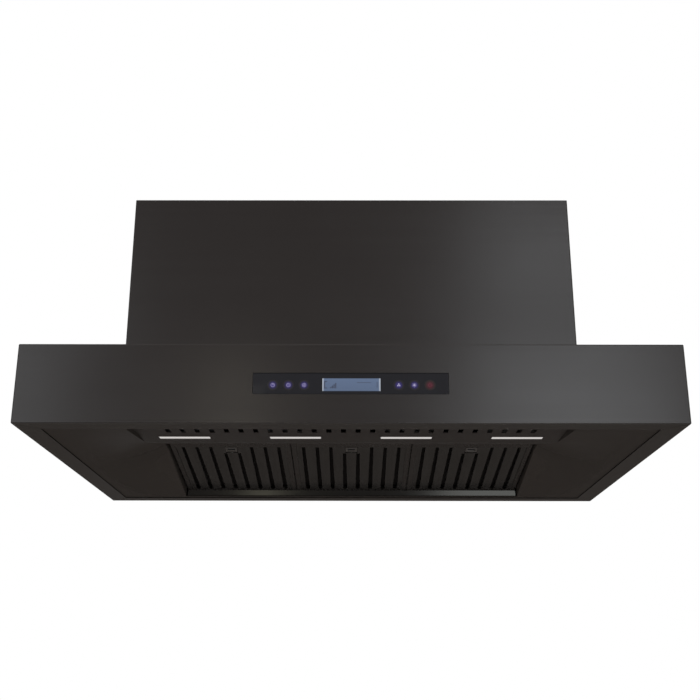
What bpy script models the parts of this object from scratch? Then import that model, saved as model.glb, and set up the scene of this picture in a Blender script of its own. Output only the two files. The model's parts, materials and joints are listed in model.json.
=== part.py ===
"""Island range hood: a wide box canopy with a duct cover, baffle filters, lights, blower and damper.

Metres, +Z up. The origin is the middle of the rim plane, where the canopy's flange faces the hob.
The control panel is on the front, at -Y, and the hood hangs from its ceiling frame, at +Z.
"""
import math

import bmesh
import bpy
from mathutils import Matrix, Vector

# ---------------------------------------------------------------- driving dimensions, in metres
SHEET = 0.0012             # canopy and pan sheet metal
THIN_SHEET = 0.0008        # baffles and blower housings
GAP = 0.0003               # clearance between neighbouring pieces

CANOPY_WIDTH = 0.9144
CANOPY_DEPTH = 0.620
CANOPY_HEIGHT = 0.1126
RIM_FLANGE = 0.032

COVER_WIDTH = 0.693
COVER_DEPTH = 0.305
COVER_HEIGHT = 0.295
COVER_FOOT = 0.012

RECESS_HALF_WIDTH = 0.310  # opening in the underside that holds the lights and filters
RECESS_FRONT = -0.273
RECESS_REAR = 0.270
RECESS_WALL_TOP = 0.0585
RECESS_PEAK = (0.0365, 0.0508)  # highest point of the sloped sides' inner edge, along Y and Z
PAN_CREASE = 0.418         # half width at which the flat margin folds up into the sloped sides
PAN_LEVEL = SHEET + GAP

PANEL_Z = 0.0128           # underside of the light panel
PANEL_FRONT = -0.2724
PANEL_REAR = -0.140
DEFLECTOR_END = (0.0335, 0.0493)
SLOT_COUNT = 26
SLOT_PITCH = 0.021
SLOT_SIZE = (0.0072, 0.048)
SLOT_CENTRE_Y = -0.226
LAMP_X = (-0.2445, -0.0815, 0.0815, 0.2445)
LAMP_SIZE = (0.075, 0.0195)
LAMP_Y = -0.170

FILTER_COUNT = 3
FILTER_PITCH = 0.205
FILTER_WIDTH = 0.2042
FILTER_FRONT = 0.2335      # from the hinge line to the filter's front edge
FILTER_TAIL = 0.006        # from the hinge line to its rear edge, which hooks into the gutter
FILTER_THICK = 0.012
FILTER_SLOPE = math.radians(9.5)
FILTER_OPEN = math.radians(60)
HINGE_Y = 0.270
HINGE_Z = 0.0135
BAFFLE_COUNT = 8
BAFFLE_PITCH = 0.02325
BAFFLE_SLOT = 0.005
LATCH_TRAVEL = 0.005
SPRING_LENGTH = 0.0110     # return spring behind the latch, in the filter's local frame
SPRING_RADIUS = 0.0011
SPRING_WIRE = 0.00022
SPRING_LEVEL = 0.0042

GLASS_SIZE = (0.266, 0.0294)
GLASS_Z = 0.0561
GLASS_RECESS = 0.0005
LCD_SIZE = (0.0788, 0.0185)

BLOWER_BOX_HALF = (0.290, 0.125)
BLOWER_BOX_TOP = 0.2645
BLOWER_Y = -0.034          # fan axis, which runs along X
BLOWER_Z = 0.175
WHEEL_RADIUS = 0.066
WHEEL_BORE = 0.054
WHEEL_BLADES = 20
SCROLL_INNER_X = 0.085
SCROLL_OUTER_X = 0.170
SCROLL_MOUTH = (0.025, 0.110)   # outlet's two walls, along Y from the fan axis

COLLAR_RADIUS = 0.0745
COLLAR_FOOT_Z = 0.318
COLLAR_TOP_Z = 0.400
DAMPER_Z = 0.326

TOP_Z = CANOPY_HEIGHT + COVER_HEIGHT
FRONT_Y = -CANOPY_DEPTH / 2

# ---------------------------------------------------------------- scene
for item in list(bpy.data.objects):
    bpy.data.objects.remove(item, do_unlink=True)

PARTS = bpy.data.collections.new("range_hood")
CUTTERS = bpy.data.collections.new("cutters")
for group in (PARTS, CUTTERS):
    bpy.context.scene.collection.children.link(group)


def material(name, colour, roughness, metallic):
    """A Principled material for one object."""
    made = bpy.data.materials.new(name)
    made.use_nodes = True
    shader = made.node_tree.nodes["Principled BSDF"]
    shader.inputs["Base Color"].default_value = (*colour, 1.0)
    shader.inputs["Roughness"].default_value = roughness
    shader.inputs["Metallic"].default_value = metallic
    return made


FINISHES = {
    "black_steel": ((0.045, 0.042, 0.040), 0.32, 1.0),
    "dark_steel": ((0.060, 0.055, 0.050), 0.38, 1.0),
    "filter_steel": ((0.050, 0.046, 0.042), 0.30, 1.0),
    "bright_steel": ((0.30, 0.29, 0.28), 0.25, 1.0),
    "galvanised": ((0.45, 0.46, 0.47), 0.45, 1.0),
    "spring_steel": ((0.55, 0.55, 0.55), 0.25, 1.0),
    "black_glass": ((0.010, 0.010, 0.012), 0.05, 0.0),
    "lcd": ((0.10, 0.16, 0.28), 0.20, 0.0),
    "lens": ((0.90, 0.90, 0.88), 0.30, 0.0),
    "black_plastic": ((0.020, 0.020, 0.020), 0.50, 0.0),
    "white_plastic": ((0.70, 0.70, 0.68), 0.50, 0.0),
    "circuit": ((0.02, 0.12, 0.05), 0.45, 0.0),
    "motor_paint": ((0.10, 0.10, 0.11), 0.40, 0.6),
    "cable": ((0.03, 0.03, 0.03), 0.55, 0.0),
}


# ---------------------------------------------------------------- modelling helpers
def add(name, mesh, finish=None, parent=None):
    """Link a mesh as a named piece, or as a cutter when it has no finish."""
    made = bpy.data.objects.new(name, mesh)
    if finish is None:
        CUTTERS.objects.link(made)
        made.hide_render = True
        made.display_type = "WIRE"
    else:
        PARTS.objects.link(made)
        mesh.materials.append(material(name, *FINISHES[finish]))
    made.parent = parent
    return made


def mesh_from(name, bm):
    bmesh.ops.recalc_face_normals(bm, faces=bm.faces)
    mesh = bpy.data.meshes.new(name)
    bm.to_mesh(mesh)
    bm.free()
    return mesh


def add_cube(bm, low, high):
    """A box between two corners, added to a bmesh."""
    low, high = Vector(low), Vector(high)
    place = Matrix.Translation((low + high) / 2) @ Matrix.Diagonal((*(high - low), 1.0))
    return bmesh.ops.create_cube(bm, size=1.0, matrix=place)["verts"]


def block(name, low, high, finish=None, parent=None, bevel=0.0):
    """A box between two corners."""
    bm = bmesh.new()
    add_cube(bm, low, high)
    made = add(name, mesh_from(name, bm), finish, parent)
    if bevel:
        soften = made.modifiers.new("edges", "BEVEL")
        soften.width = bevel
        soften.segments = 2
    return made


def blocks(name, corners, parent=None):
    """Several boxes in one cutter."""
    bm = bmesh.new()
    for low, high in corners:
        add_cube(bm, low, high)
    return add(name, mesh_from(name, bm), parent=parent)


def rod(name, start, end, radius, sides=16, finish=None, parent=None):
    """A round bar from one point to another."""
    start, end = Vector(start), Vector(end)
    turn = (end - start).to_track_quat("Z", "Y").to_matrix().to_4x4()
    bm = bmesh.new()
    bmesh.ops.create_cone(bm, cap_ends=True, segments=sides, radius1=radius, radius2=radius,
                          depth=(end - start).length,
                          matrix=Matrix.Translation((start + end) / 2) @ turn)
    made = add(name, mesh_from(name, bm), finish, parent)
    if finish is not None:
        made.data.shade_smooth()
        made.data.set_sharp_from_angle(angle=math.radians(40))
    return made


def turned(name, profile, origin, axis, steps, finish=None, parent=None, closed=True):
    """A turned piece: the profile's (radius, height) points go round the axis through origin."""
    bm = bmesh.new()
    points = [bm.verts.new((radius, 0.0, height)) for radius, height in profile]
    for first, second in zip(points, points[1:]):
        bm.edges.new((first, second))
    if closed:
        bm.edges.new((points[-1], points[0]))
    mesh = bpy.data.meshes.new(name)
    bm.to_mesh(mesh)
    bm.free()
    made = add(name, mesh, finish, parent)
    made.location = origin
    made.rotation_euler = Vector(axis).to_track_quat("Z", "Y").to_euler()
    screw = made.modifiers.new("turn", "SCREW")
    screw.steps = steps
    screw.render_steps = steps
    screw.merge_threshold = 0.00001
    screw.use_smooth_shade = True
    return made


def outline_plate(name, outline, low_x, high_x, finish=None, parent=None):
    """A flat outline in the YZ plane, given thickness along X."""
    curve = bpy.data.curves.new(name, "CURVE")
    curve.dimensions = "2D"
    curve.fill_mode = "BOTH"
    curve.extrude = (high_x - low_x) / 2
    spline = curve.splines.new("POLY")
    spline.points.add(len(outline) - 1)
    for point, (y, z) in zip(spline.points, outline):
        point.co = (y, z, 0.0, 1.0)
    spline.use_cyclic_u = True
    guide = bpy.data.objects.new(name + "_outline", curve)
    CUTTERS.objects.link(guide)
    # the curve's X and Y become the object's Y and Z
    guide.matrix_world = Matrix.Translation(((low_x + high_x) / 2, 0, 0)) @ Matrix(
        ((0, 0, 1, 0), (1, 0, 0, 0), (0, 1, 0, 0), (0, 0, 0, 1)))
    bpy.context.view_layer.update()
    mesh = bpy.data.meshes.new_from_object(guide.evaluated_get(bpy.context.evaluated_depsgraph_get()))
    bm = bmesh.new()
    bm.from_mesh(mesh)
    bmesh.ops.remove_doubles(bm, verts=bm.verts, dist=0.000001)
    bm.transform(guide.matrix_world)
    bpy.data.objects.remove(guide, do_unlink=True)
    bpy.data.meshes.remove(mesh)
    return add(name, mesh_from(name, bm), finish, parent)


def folded_sheet(name, profile, low_x, high_x, thickness, finish, parent=None):
    """Sheet bent along X: the profile's (y, z) points are its visible face, the sheet is above it."""
    bm = bmesh.new()
    line = [bm.verts.new((low_x, y, z)) for y, z in profile]
    edges = [bm.edges.new(pair) for pair in zip(line, line[1:])]
    swept = bmesh.ops.extrude_edge_only(bm, edges=edges)["geom"]
    moved = [item for item in swept if isinstance(item, bmesh.types.BMVert)]
    bmesh.ops.translate(bm, verts=moved, vec=(high_x - low_x, 0, 0))
    mesh = mesh_from(name, bm)
    if mesh.polygons[0].normal.z > 0:
        mesh.flip_normals()
    made = add(name, mesh, finish, parent)
    thicken(made, thickness)
    return made


def thicken(made, thickness):
    """Turn an open surface into a shell, away from the side it faces."""
    solid = made.modifiers.new("sheet", "SOLIDIFY")
    solid.thickness = thickness
    solid.offset = -1.0
    solid.solidify_mode = "NON_MANIFOLD"
    solid.nonmanifold_thickness_mode = "CONSTRAINTS"
    solid.nonmanifold_merge_threshold = 0.0000001


def combine(made, other, operation):
    """Cut another object away from a piece, or join it on."""
    step = made.modifiers.new(other.name, "BOOLEAN")
    step.operation = operation
    step.solver = "EXACT"
    step.object = other
    return made


def cut(made, *others):
    for other in others:
        combine(made, other, "DIFFERENCE")
    return made


def join(made, *others):
    for other in others:
        combine(made, other, "UNION")
    return made


def face_towards(bm, direction):
    """The face of a box that looks along a direction."""
    return max(bm.faces, key=lambda face: face.normal.dot(direction))


def open_face(bm, face, low, high):
    """Inset a horizontal face to the rectangle low to high, and take the middle out."""
    bmesh.ops.inset_region(bm, faces=[face], thickness=0.005, use_even_offset=True)
    centre = face.calc_center_median()
    for vert in face.verts:
        vert.co.x = low[0] if vert.co.x < centre.x else high[0]
        vert.co.y = low[1] if vert.co.y < centre.y else high[1]
    bmesh.ops.delete(bm, geom=[face], context="FACES_ONLY")


def sheet_box(name, low, high, bottom, top, finish, parent=None):
    """A folded box: bottom and top are None when closed, or the rectangle left open."""
    bm = bmesh.new()
    add_cube(bm, low, high)
    bm.normal_update()
    for direction, rectangle in ((Vector((0, 0, -1)), bottom), (Vector((0, 0, 1)), top)):
        if rectangle == "open":
            bmesh.ops.delete(bm, geom=[face_towards(bm, direction)], context="FACES_ONLY")
        elif rectangle:
            open_face(bm, face_towards(bm, direction), *rectangle)
        bm.normal_update()
    mesh = bpy.data.meshes.new(name)
    bm.to_mesh(mesh)
    bm.free()
    return add(name, mesh, finish, parent)


def empty(name, location, rotation=(0, 0, 0)):
    """A frame that pieces are parented to."""
    made = bpy.data.objects.new(name, None)
    made.empty_display_size = 0.03
    made.location = location
    made.rotation_euler = rotation
    PARTS.objects.link(made)
    return made


def tube(name, points, radius, finish, resolution=2, parent=None):
    """A round wire along points."""
    curve = bpy.data.curves.new(name, "CURVE")
    curve.dimensions = "3D"
    curve.bevel_depth = radius
    curve.bevel_resolution = resolution
    curve.use_fill_caps = True
    spline = curve.splines.new("POLY")
    spline.points.add(len(points) - 1)
    for point, place in zip(spline.points, points):
        point.co = (*place, 1.0)
    made = bpy.data.objects.new(name, curve)
    made.parent = parent
    PARTS.objects.link(made)
    curve.materials.append(material(name, *FINISHES[finish]))
    return made


# ---------------------------------------------------------------- canopy
def make_canopy():
    half_w, half_d = CANOPY_WIDTH / 2, CANOPY_DEPTH / 2
    rim = ((-half_w + RIM_FLANGE, -half_d + RIM_FLANGE), (half_w - RIM_FLANGE, half_d - RIM_FLANGE))
    air = ((-0.270, -0.108), (0.270, 0.108))
    shell = sheet_box("canopy_shell", (-half_w, -half_d, 0), (half_w, half_d, CANOPY_HEIGHT),
                      rim, air, "black_steel")
    thicken(shell, SHEET)
    window = block("control_window",
                   (-GLASS_SIZE[0] / 2 - GAP, FRONT_Y - 0.01, GLASS_Z - GLASS_SIZE[1] / 2 - GAP),
                   (GLASS_SIZE[0] / 2 + GAP, FRONT_Y + 0.01, GLASS_Z + GLASS_SIZE[1] / 2 + GAP))
    cut(shell, window)


def make_underside_pan():
    """Flat margin inside the rim, sides that slope up to the recess, and walls turned up round it."""
    half_w = CANOPY_WIDTH / 2 - SHEET - GAP
    half_d = CANOPY_DEPTH / 2 - SHEET - GAP
    columns = (-half_w, -PAN_CREASE, -RECESS_HALF_WIDTH, RECESS_HALF_WIDTH, PAN_CREASE, half_w)
    rows = (-half_d, RECESS_FRONT, PANEL_REAR, RECESS_PEAK[0], RECESS_REAR, half_d)
    edge_heights = {PANEL_REAR: PANEL_Z, RECESS_PEAK[0]: RECESS_PEAK[1]}
    left, right, front = 2, 3, 1
    bm = bmesh.new()
    grid = []
    for x in columns:
        heights = edge_heights if abs(x) == RECESS_HALF_WIDTH else {}
        grid.append([bm.verts.new((x, y, heights.get(y, PAN_LEVEL))) for y in rows])
    for i, (line, following) in enumerate(zip(grid, grid[1:])):
        for j in range(len(rows) - 1):
            if i != left or j in (0, len(rows) - 2):
                bm.faces.new((line[j], line[j + 1], following[j + 1], following[j]))
    sloped = [face for face in bm.faces if len({vert.co.z for vert in face.verts}) > 1]
    bmesh.ops.triangulate(bm, faces=sloped)
    tops = {column: [bm.verts.new((vert.co.x, vert.co.y, RECESS_WALL_TOP)) for vert in grid[column][front:-1]]
            for column in (left, right)}
    for j in range(len(tops[left]) - 1):
        for column in (left, right):
            feet = grid[column][front + j:front + j + 2]
            corners = (feet[0], feet[1], tops[column][j + 1], tops[column][j])
            bm.faces.new(corners if column == left else corners[::-1])
    bm.faces.new((grid[left][front], tops[left][0], tops[right][0], grid[right][front]))
    mesh = bpy.data.meshes.new("underside_pan")
    bm.to_mesh(mesh)
    bm.free()
    thicken(add("underside_pan", mesh, "dark_steel"), SHEET)


def make_light_panel():
    half = RECESS_HALF_WIDTH - 0.0008
    profile = [(PANEL_FRONT, PANEL_Z), (PANEL_REAR, PANEL_Z), DEFLECTOR_END]
    panel = folded_sheet("light_panel", profile, -half, half, SHEET, "dark_steel")
    slots = []
    for index in range(SLOT_COUNT):
        x = (index - (SLOT_COUNT - 1) / 2) * SLOT_PITCH
        slots.append(((x - SLOT_SIZE[0] / 2, SLOT_CENTRE_Y - SLOT_SIZE[1] / 2, PANEL_Z - 0.005),
                      (x + SLOT_SIZE[0] / 2, SLOT_CENTRE_Y + SLOT_SIZE[1] / 2, PANEL_Z + 0.005)))
    for x in LAMP_X:
        slots.append(((x - LAMP_SIZE[0] / 2 - GAP, LAMP_Y - LAMP_SIZE[1] / 2 - GAP, PANEL_Z - 0.005),
                      (x + LAMP_SIZE[0] / 2 + GAP, LAMP_Y + LAMP_SIZE[1] / 2 + GAP, PANEL_Z + 0.005)))
    cut(panel, blocks("light_panel_holes", slots))


def make_lamps():
    """Each lamp is a diffuser bar in the light panel and a housing that covers it from above."""
    for number, x in enumerate(LAMP_X, 1):
        half_x, half_y = LAMP_SIZE[0] / 2, LAMP_SIZE[1] / 2
        block(f"led_lens_{number}", (x - half_x, LAMP_Y - half_y, PANEL_Z - 0.0006),
              (x + half_x, LAMP_Y + half_y, PANEL_Z + 0.0044), "lens")
        base = PANEL_Z + SHEET + GAP
        housing = block(f"led_housing_{number}", (x - half_x - 0.007, LAMP_Y - half_y - 0.004, base),
                        (x + half_x + 0.007, LAMP_Y + half_y + 0.004, base + 0.014), "galvanised")
        cavity = block(f"led_cavity_{number}", (x - half_x - 0.001, LAMP_Y - half_y - 0.001, base - 0.005),
                       (x + half_x + 0.001, LAMP_Y + half_y + 0.001, base + 0.0128))
        cut(housing, cavity)


def make_filter_rail():
    """Angle bar that stiffens the deflector's end; its ledge passes over the latch tongues."""
    half = RECESS_HALF_WIDTH - 0.0008
    leg_y, ledge_y = 0.0210, 0.0370
    foot_z, top_z = 0.0486, 0.0610
    profile = [(leg_y, foot_z), (leg_y, top_z), (ledge_y, top_z)]
    bm = bmesh.new()
    line = [bm.verts.new((-half, y, z)) for y, z in profile]
    edges = [bm.edges.new(pair) for pair in zip(line, line[1:])]
    swept = bmesh.ops.extrude_edge_only(bm, edges=edges)["geom"]
    bmesh.ops.translate(bm, verts=[item for item in swept if isinstance(item, bmesh.types.BMVert)],
                        vec=(2 * half, 0, 0))
    mesh = mesh_from("filter_rail", bm)
    if max(mesh.polygons, key=lambda face: abs(face.normal.z)).normal.z < 0:
        mesh.flip_normals()
    thicken(add("filter_rail", mesh, "dark_steel"), SHEET)


def make_grease_gutter():
    """Open trough behind the filters; its front wall leans back and carries their rear edges."""
    half = RECESS_HALF_WIDTH - 0.0020
    low_z, front_top, rear_top = 0.0030, HINGE_Z, 0.0115
    front, rear = HINGE_Y, 0.302
    lean = 0.0028 / (front_top - low_z)
    across = SHEET * math.hypot(1.0, lean)
    above = front_top + 0.01
    outer = [(front, front_top), (front + lean * (front_top - low_z), low_z),
             (rear, low_z), (rear, front_top)]
    floor = low_z + SHEET
    inner = [(front + across - lean * (above - front_top), above),
             (front + across + lean * (front_top - floor), floor),
             (rear - SHEET, floor), (rear - SHEET, above)]
    gutter = outline_plate("grease_gutter", outer, -half, half, "dark_steel")
    hollow = outline_plate("gutter_hollow", inner, -half + SHEET, half - SHEET)
    rebate = block("gutter_rebate", (-half - 0.01, front + 2 * SHEET, rear_top),
                   (half + 0.01, rear + 0.01, above))
    cut(gutter, hollow, rebate)


# ---------------------------------------------------------------- filters
def filter_centres():
    return [(index - (FILTER_COUNT - 1) / 2) * FILTER_PITCH for index in range(FILTER_COUNT)]


def slotted_sheet(name, half_width, y_low, y_high, level, slots, lip, finish, parent):
    """A baffle layer: a sheet with slots whose long edges are turned up (or down) by lip."""
    bm = bmesh.new()
    bmesh.ops.create_grid(bm, x_segments=1, y_segments=1, size=1.0)
    for vert in bm.verts:
        vert.co = (math.copysign(half_width, vert.co.x), y_low if vert.co.y < 0 else y_high, level)
    for x_low, x_high, slot_low, slot_high in slots:
        for point, normal in (((x_low, 0, 0), (1, 0, 0)), ((x_high, 0, 0), (1, 0, 0)),
                              ((0, slot_low, 0), (0, 1, 0)), ((0, slot_high, 0), (0, 1, 0))):
            bmesh.ops.bisect_plane(bm, geom=bm.verts[:] + bm.edges[:] + bm.faces[:], dist=0.000001,
                                   plane_co=point, plane_no=normal)

    def inside(point, margin):
        return any(x_low - margin < point.x < x_high + margin and low < point.y < high
                   for x_low, x_high, low, high in slots)

    holes = [face for face in bm.faces if inside(face.calc_center_median(), 0.0)]
    bmesh.ops.delete(bm, geom=holes, context="FACES")
    long_edges = [edge for edge in bm.edges if edge.is_boundary
                  and abs(edge.verts[0].co.x - edge.verts[1].co.x) < 0.00001
                  and inside((edge.verts[0].co + edge.verts[1].co) / 2, 0.00001)]
    raised = bmesh.ops.extrude_edge_only(bm, edges=long_edges)["geom"]
    bmesh.ops.translate(bm, verts=[item for item in raised if isinstance(item, bmesh.types.BMVert)],
                        vec=(0, 0, lip))
    bmesh.ops.recalc_face_normals(bm, faces=bm.faces)
    flat = max(bm.faces, key=lambda face: face.calc_area())
    if flat.normal.z * lip > 0:
        bmesh.ops.reverse_faces(bm, faces=bm.faces)
    mesh = bpy.data.meshes.new(name)
    bm.to_mesh(mesh)
    bm.free()
    made = add(name, mesh, finish, parent)
    thicken(made, THIN_SHEET)
    return made


def make_filter(number, centre_x):
    """Local frame of a filter: -Y runs up the slope to the front edge, +Z is its upper side."""
    hinge = empty(f"filter_hinge_{number}", (centre_x, HINGE_Y, HINGE_Z), (-FILTER_SLOPE, 0, 0))
    half = FILTER_WIDTH / 2
    under, over = 0.0004, 0.0004 + FILTER_THICK
    front, rear = -FILTER_FRONT, FILTER_TAIL
    wall = 0.001
    window_front, window_rear = front + 0.0195, -0.0035
    frame = block(f"filter_frame_{number}", (-half, front, under), (half, rear, over), "filter_steel", hinge)
    inner = block(f"filter_inner_{number}", (-half + wall, front + wall, under + wall),
                  (half - wall, rear - wall, over - wall), parent=hinge)
    windows = block(f"filter_windows_{number}", (-half + 0.0085, window_front, under - 0.01),
                    (half - 0.0085, window_rear, over + 0.01), parent=hinge)
    tongue_way = block(f"tongue_way_{number}", (-0.0064, front - 0.01, 0.0030),
                       (0.0064, front + 0.01, 0.0052), parent=hinge)
    thumb_way = block(f"thumb_way_{number}", (-0.0104, front + 0.0180, under - 0.01),
                      (0.0104, front + 0.0225, under + 0.0025), parent=hinge)
    cut(frame, inner, windows, tongue_way, thumb_way)

    sheet_half = half - wall - GAP
    sheet_front, sheet_rear = front + wall + GAP, rear - wall - GAP
    lower = under + wall + GAP
    latch_front, latch_rear = front + 0.0225, front + 0.0425
    slots = []
    for index in range(BAFFLE_COUNT):
        x = (index - (BAFFLE_COUNT - 1) / 2) * BAFFLE_PITCH
        beside_latch = abs(x) < BAFFLE_PITCH
        start = front + 0.0505 if beside_latch else window_front + 0.0005
        slots.append((x - BAFFLE_SLOT / 2, x + BAFFLE_SLOT / 2, start, window_rear - 0.0005))
    sheet = slotted_sheet(f"lower_baffles_{number}", sheet_half, sheet_front, sheet_rear, lower,
                          slots, 0.0045, "filter_steel", hinge)
    latch_window = block(f"latch_window_{number}", (-0.0104, latch_front - GAP - 0.001, under - 0.01),
                         (0.0104, latch_rear + LATCH_TRAVEL + GAP, lower + 0.0012), parent=hinge)
    cut(sheet, latch_window)
    stop_y = latch_rear + SPRING_LENGTH + 2 * GAP
    spring_stop = block(f"spring_stop_{number}", (-0.0030, stop_y, lower + 0.0004),
                        (0.0030, stop_y + 0.001, SPRING_LEVEL + 0.0012), parent=hinge)
    join(sheet, spring_stop)

    gaps = []
    for index in range(BAFFLE_COUNT - 1):
        x = (index - (BAFFLE_COUNT - 2) / 2) * BAFFLE_PITCH
        gaps.append((x - 0.0045, x + 0.0045, window_front + 0.004, window_rear - 0.002))
    slotted_sheet(f"upper_baffles_{number}", sheet_half, sheet_front, sheet_rear, over - wall - GAP,
                  gaps, -0.0055, "filter_steel", hinge)
    make_latch(number, hinge, under, latch_front, latch_rear, front)


def make_latch(number, hinge, under, latch_front, latch_rear, front):
    """Slide latch: a thumb plate with a finger recess, and a tongue out through the frame."""
    latch = block(f"filter_latch_{number}", (-0.0100, latch_front, under + 0.0006),
                  (0.0100, latch_rear, under + 0.0032), "dark_steel", hinge)
    tongue = block(f"latch_tongue_{number}", (-0.0060, front - 0.004, under + 0.0029),
                   (0.0060, latch_rear - 0.004, under + 0.0044), parent=hinge)
    recess = block(f"latch_recess_{number}", (-0.0070, latch_front + 0.004, under - 0.001),
                   (0.0070, latch_rear - 0.006, under + 0.0022), parent=hinge)
    upstand = block(f"latch_upstand_{number}", (-0.0030, latch_rear - 0.0012, under + 0.0029),
                    (0.0030, latch_rear, SPRING_LEVEL + 0.0012), parent=hinge)
    join(latch, tongue, upstand)
    cut(latch, recess)
    coil_turns, coil_steps = 5, 8
    coil = []
    for step in range(coil_turns * coil_steps + 1):
        angle = 2 * math.pi * step / coil_steps
        along = SPRING_WIRE + step / (coil_turns * coil_steps) * (SPRING_LENGTH - 2 * SPRING_WIRE)
        coil.append((SPRING_RADIUS * math.cos(angle), latch_rear + GAP + along,
                     SPRING_LEVEL + SPRING_RADIUS * math.sin(angle)))
    tube(f"latch_spring_{number}", coil, SPRING_WIRE, "spring_steel", 1, hinge)


# ---------------------------------------------------------------- control panel
def make_controls():
    half_w, half_h = GLASS_SIZE[0] / 2, GLASS_SIZE[1] / 2
    glass_y = FRONT_Y + GLASS_RECESS
    block("control_glass", (-half_w, glass_y, GLASS_Z - half_h), (half_w, glass_y + 0.003, GLASS_Z + half_h),
          "black_glass")
    lcd_y = glass_y + 0.003 + GAP
    block("lcd_module", (-LCD_SIZE[0] / 2 - 0.004, lcd_y, GLASS_Z - 0.0125),
          (LCD_SIZE[0] / 2 + 0.004, lcd_y + 0.004, GLASS_Z + 0.0125), "lcd")
    board_y = lcd_y + 0.004 + GAP
    block("touch_board", (-half_w + 0.004, board_y, GLASS_Z - 0.0135),
          (half_w - 0.004, board_y + 0.0016, GLASS_Z + 0.0135), "circuit")
    rear = board_y + 0.0130
    housing = block("control_housing", (-half_w - 0.008, FRONT_Y + SHEET + GAP, GLASS_Z - half_h - 0.006),
                    (half_w + 0.008, rear, GLASS_Z + half_h + 0.006), "black_plastic")
    cut(housing, block("control_hollow", (-half_w - 0.001, FRONT_Y - 0.01, GLASS_Z - half_h - 0.001),
                       (half_w + 0.001, rear - 0.002, GLASS_Z + half_h + 0.001)),
        rod("control_cable_way", (0.100, rear - 0.01, GLASS_Z), (0.100, rear + 0.01, GLASS_Z), 0.0035))


# ---------------------------------------------------------------- duct cover and hanging frame
def make_duct_cover():
    half_w, half_d = COVER_WIDTH / 2, COVER_DEPTH / 2
    foot = ((-half_w + COVER_FOOT, -half_d + COVER_FOOT), (half_w - COVER_FOOT, half_d - COVER_FOOT))
    cover = sheet_box("duct_cover", (-half_w, -half_d, CANOPY_HEIGHT + GAP), (half_w, half_d, TOP_Z),
                      foot, "open", "black_steel")
    thicken(cover, SHEET)


def angle_outline(corner, leg, thickness, sign_x, sign_y):
    """An L section that opens towards the middle of the hood."""
    x, y = corner
    inner = leg - thickness
    points = [(0, 0), (leg, 0), (leg, thickness), (leg - inner, thickness), (leg - inner, leg), (0, leg)]
    return [(x - sign_x * a, y - sign_y * b) for a, b in points]


def make_hanging_frame():
    """Four angle posts stand on the duct cover's foot flange and carry the ceiling frame."""
    post_foot = CANOPY_HEIGHT + SHEET + 2 * GAP
    post_top = TOP_Z - 0.002 - GAP
    number = 0
    for sign_x in (-1, 1):
        for sign_y in (-1, 1):
            number += 1
            outline = angle_outline((sign_x * 0.3325, sign_y * 0.1495), 0.025, 0.002, sign_x, sign_y)
            bm = bmesh.new()
            base = bm.faces.new([bm.verts.new((x, y, post_foot)) for x, y in outline])
            lifted = bmesh.ops.extrude_face_region(bm, geom=[base])["geom"]
            bmesh.ops.translate(bm, verts=[item for item in lifted if isinstance(item, bmesh.types.BMVert)],
                                vec=(0, 0, post_top - post_foot))
            add(f"hanging_post_{number}", mesh_from("post", bm), "galvanised")
    frame = block("ceiling_frame", (-0.343, -0.1500, TOP_Z - 0.002), (0.343, 0.1500, TOP_Z), "galvanised")
    cut(frame, block("ceiling_window", (-0.318, -0.125, TOP_Z - 0.01), (0.318, 0.125, TOP_Z + 0.01)))
    holes = [rod(f"ceiling_hole_{index}", (x, y, TOP_Z - 0.01), (x, y, TOP_Z + 0.01), 0.0045)
             for index, (x, y) in enumerate((x, y) for x in (-0.200, 0.200) for y in (-0.1325, 0.1325))]
    cut(frame, *holes)


# ---------------------------------------------------------------- blower
def scroll_outline(inset):
    """Spiral casing round the fan axis, ending in a straight mouth that points up."""
    low_wall, high_wall = SCROLL_MOUTH[0] + inset, SCROLL_MOUTH[1] - inset
    tongue_radius = 0.0725 - inset
    start = math.acos(low_wall / tongue_radius)
    steps = 22
    points = []
    for step in range(steps + 1):
        share = step / steps
        angle = start + share * (2 * math.pi - start)
        radius = tongue_radius + share * (high_wall - tongue_radius)
        points.append((BLOWER_Y + radius * math.cos(angle), BLOWER_Z + radius * math.sin(angle)))
    mouth_z = BLOWER_BOX_TOP - SHEET - GAP + (0.01 if inset else 0.0)
    points.append((BLOWER_Y + high_wall, mouth_z))
    points.append((BLOWER_Y + low_wall, mouth_z))
    return points


def make_scroll(side, sign):
    """Scroll housing with an inlet hole outside and a shaft hole inside."""
    low, high = sorted((sign * SCROLL_INNER_X, sign * SCROLL_OUTER_X))
    housing = outline_plate(f"scroll_{side}", scroll_outline(0.0), low, high, "galvanised")
    hollow = outline_plate(f"scroll_hollow_{side}", scroll_outline(THIN_SHEET), low + THIN_SHEET,
                           high - THIN_SHEET)
    outer = sign * SCROLL_OUTER_X
    inner = sign * SCROLL_INNER_X
    inlet = rod(f"inlet_cut_{side}", (outer - 0.01, BLOWER_Y, BLOWER_Z), (outer + 0.01, BLOWER_Y, BLOWER_Z),
                0.0565, 32)
    shaft_way = rod(f"shaft_cut_{side}", (inner - 0.01, BLOWER_Y, BLOWER_Z),
                    (inner + 0.01, BLOWER_Y, BLOWER_Z), 0.0140, 16)
    cut(housing, hollow, inlet, shaft_way)
    # bell mouth that guides air into the wheel
    bell = [(0.0620, 0.0), (0.0620, 0.0008), (0.0540, 0.0008), (0.0500, -0.0020), (0.0490, -0.0060),
            (0.0500, -0.0060), (0.0508, -0.0026), (0.0544, 0.0)]
    profile = [(radius, height + 0.0004) for radius, height in bell]
    turned(f"inlet_ring_{side}", profile[::-1], (outer, BLOWER_Y, BLOWER_Z), (sign, 0, 0), 24, "galvanised")


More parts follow.
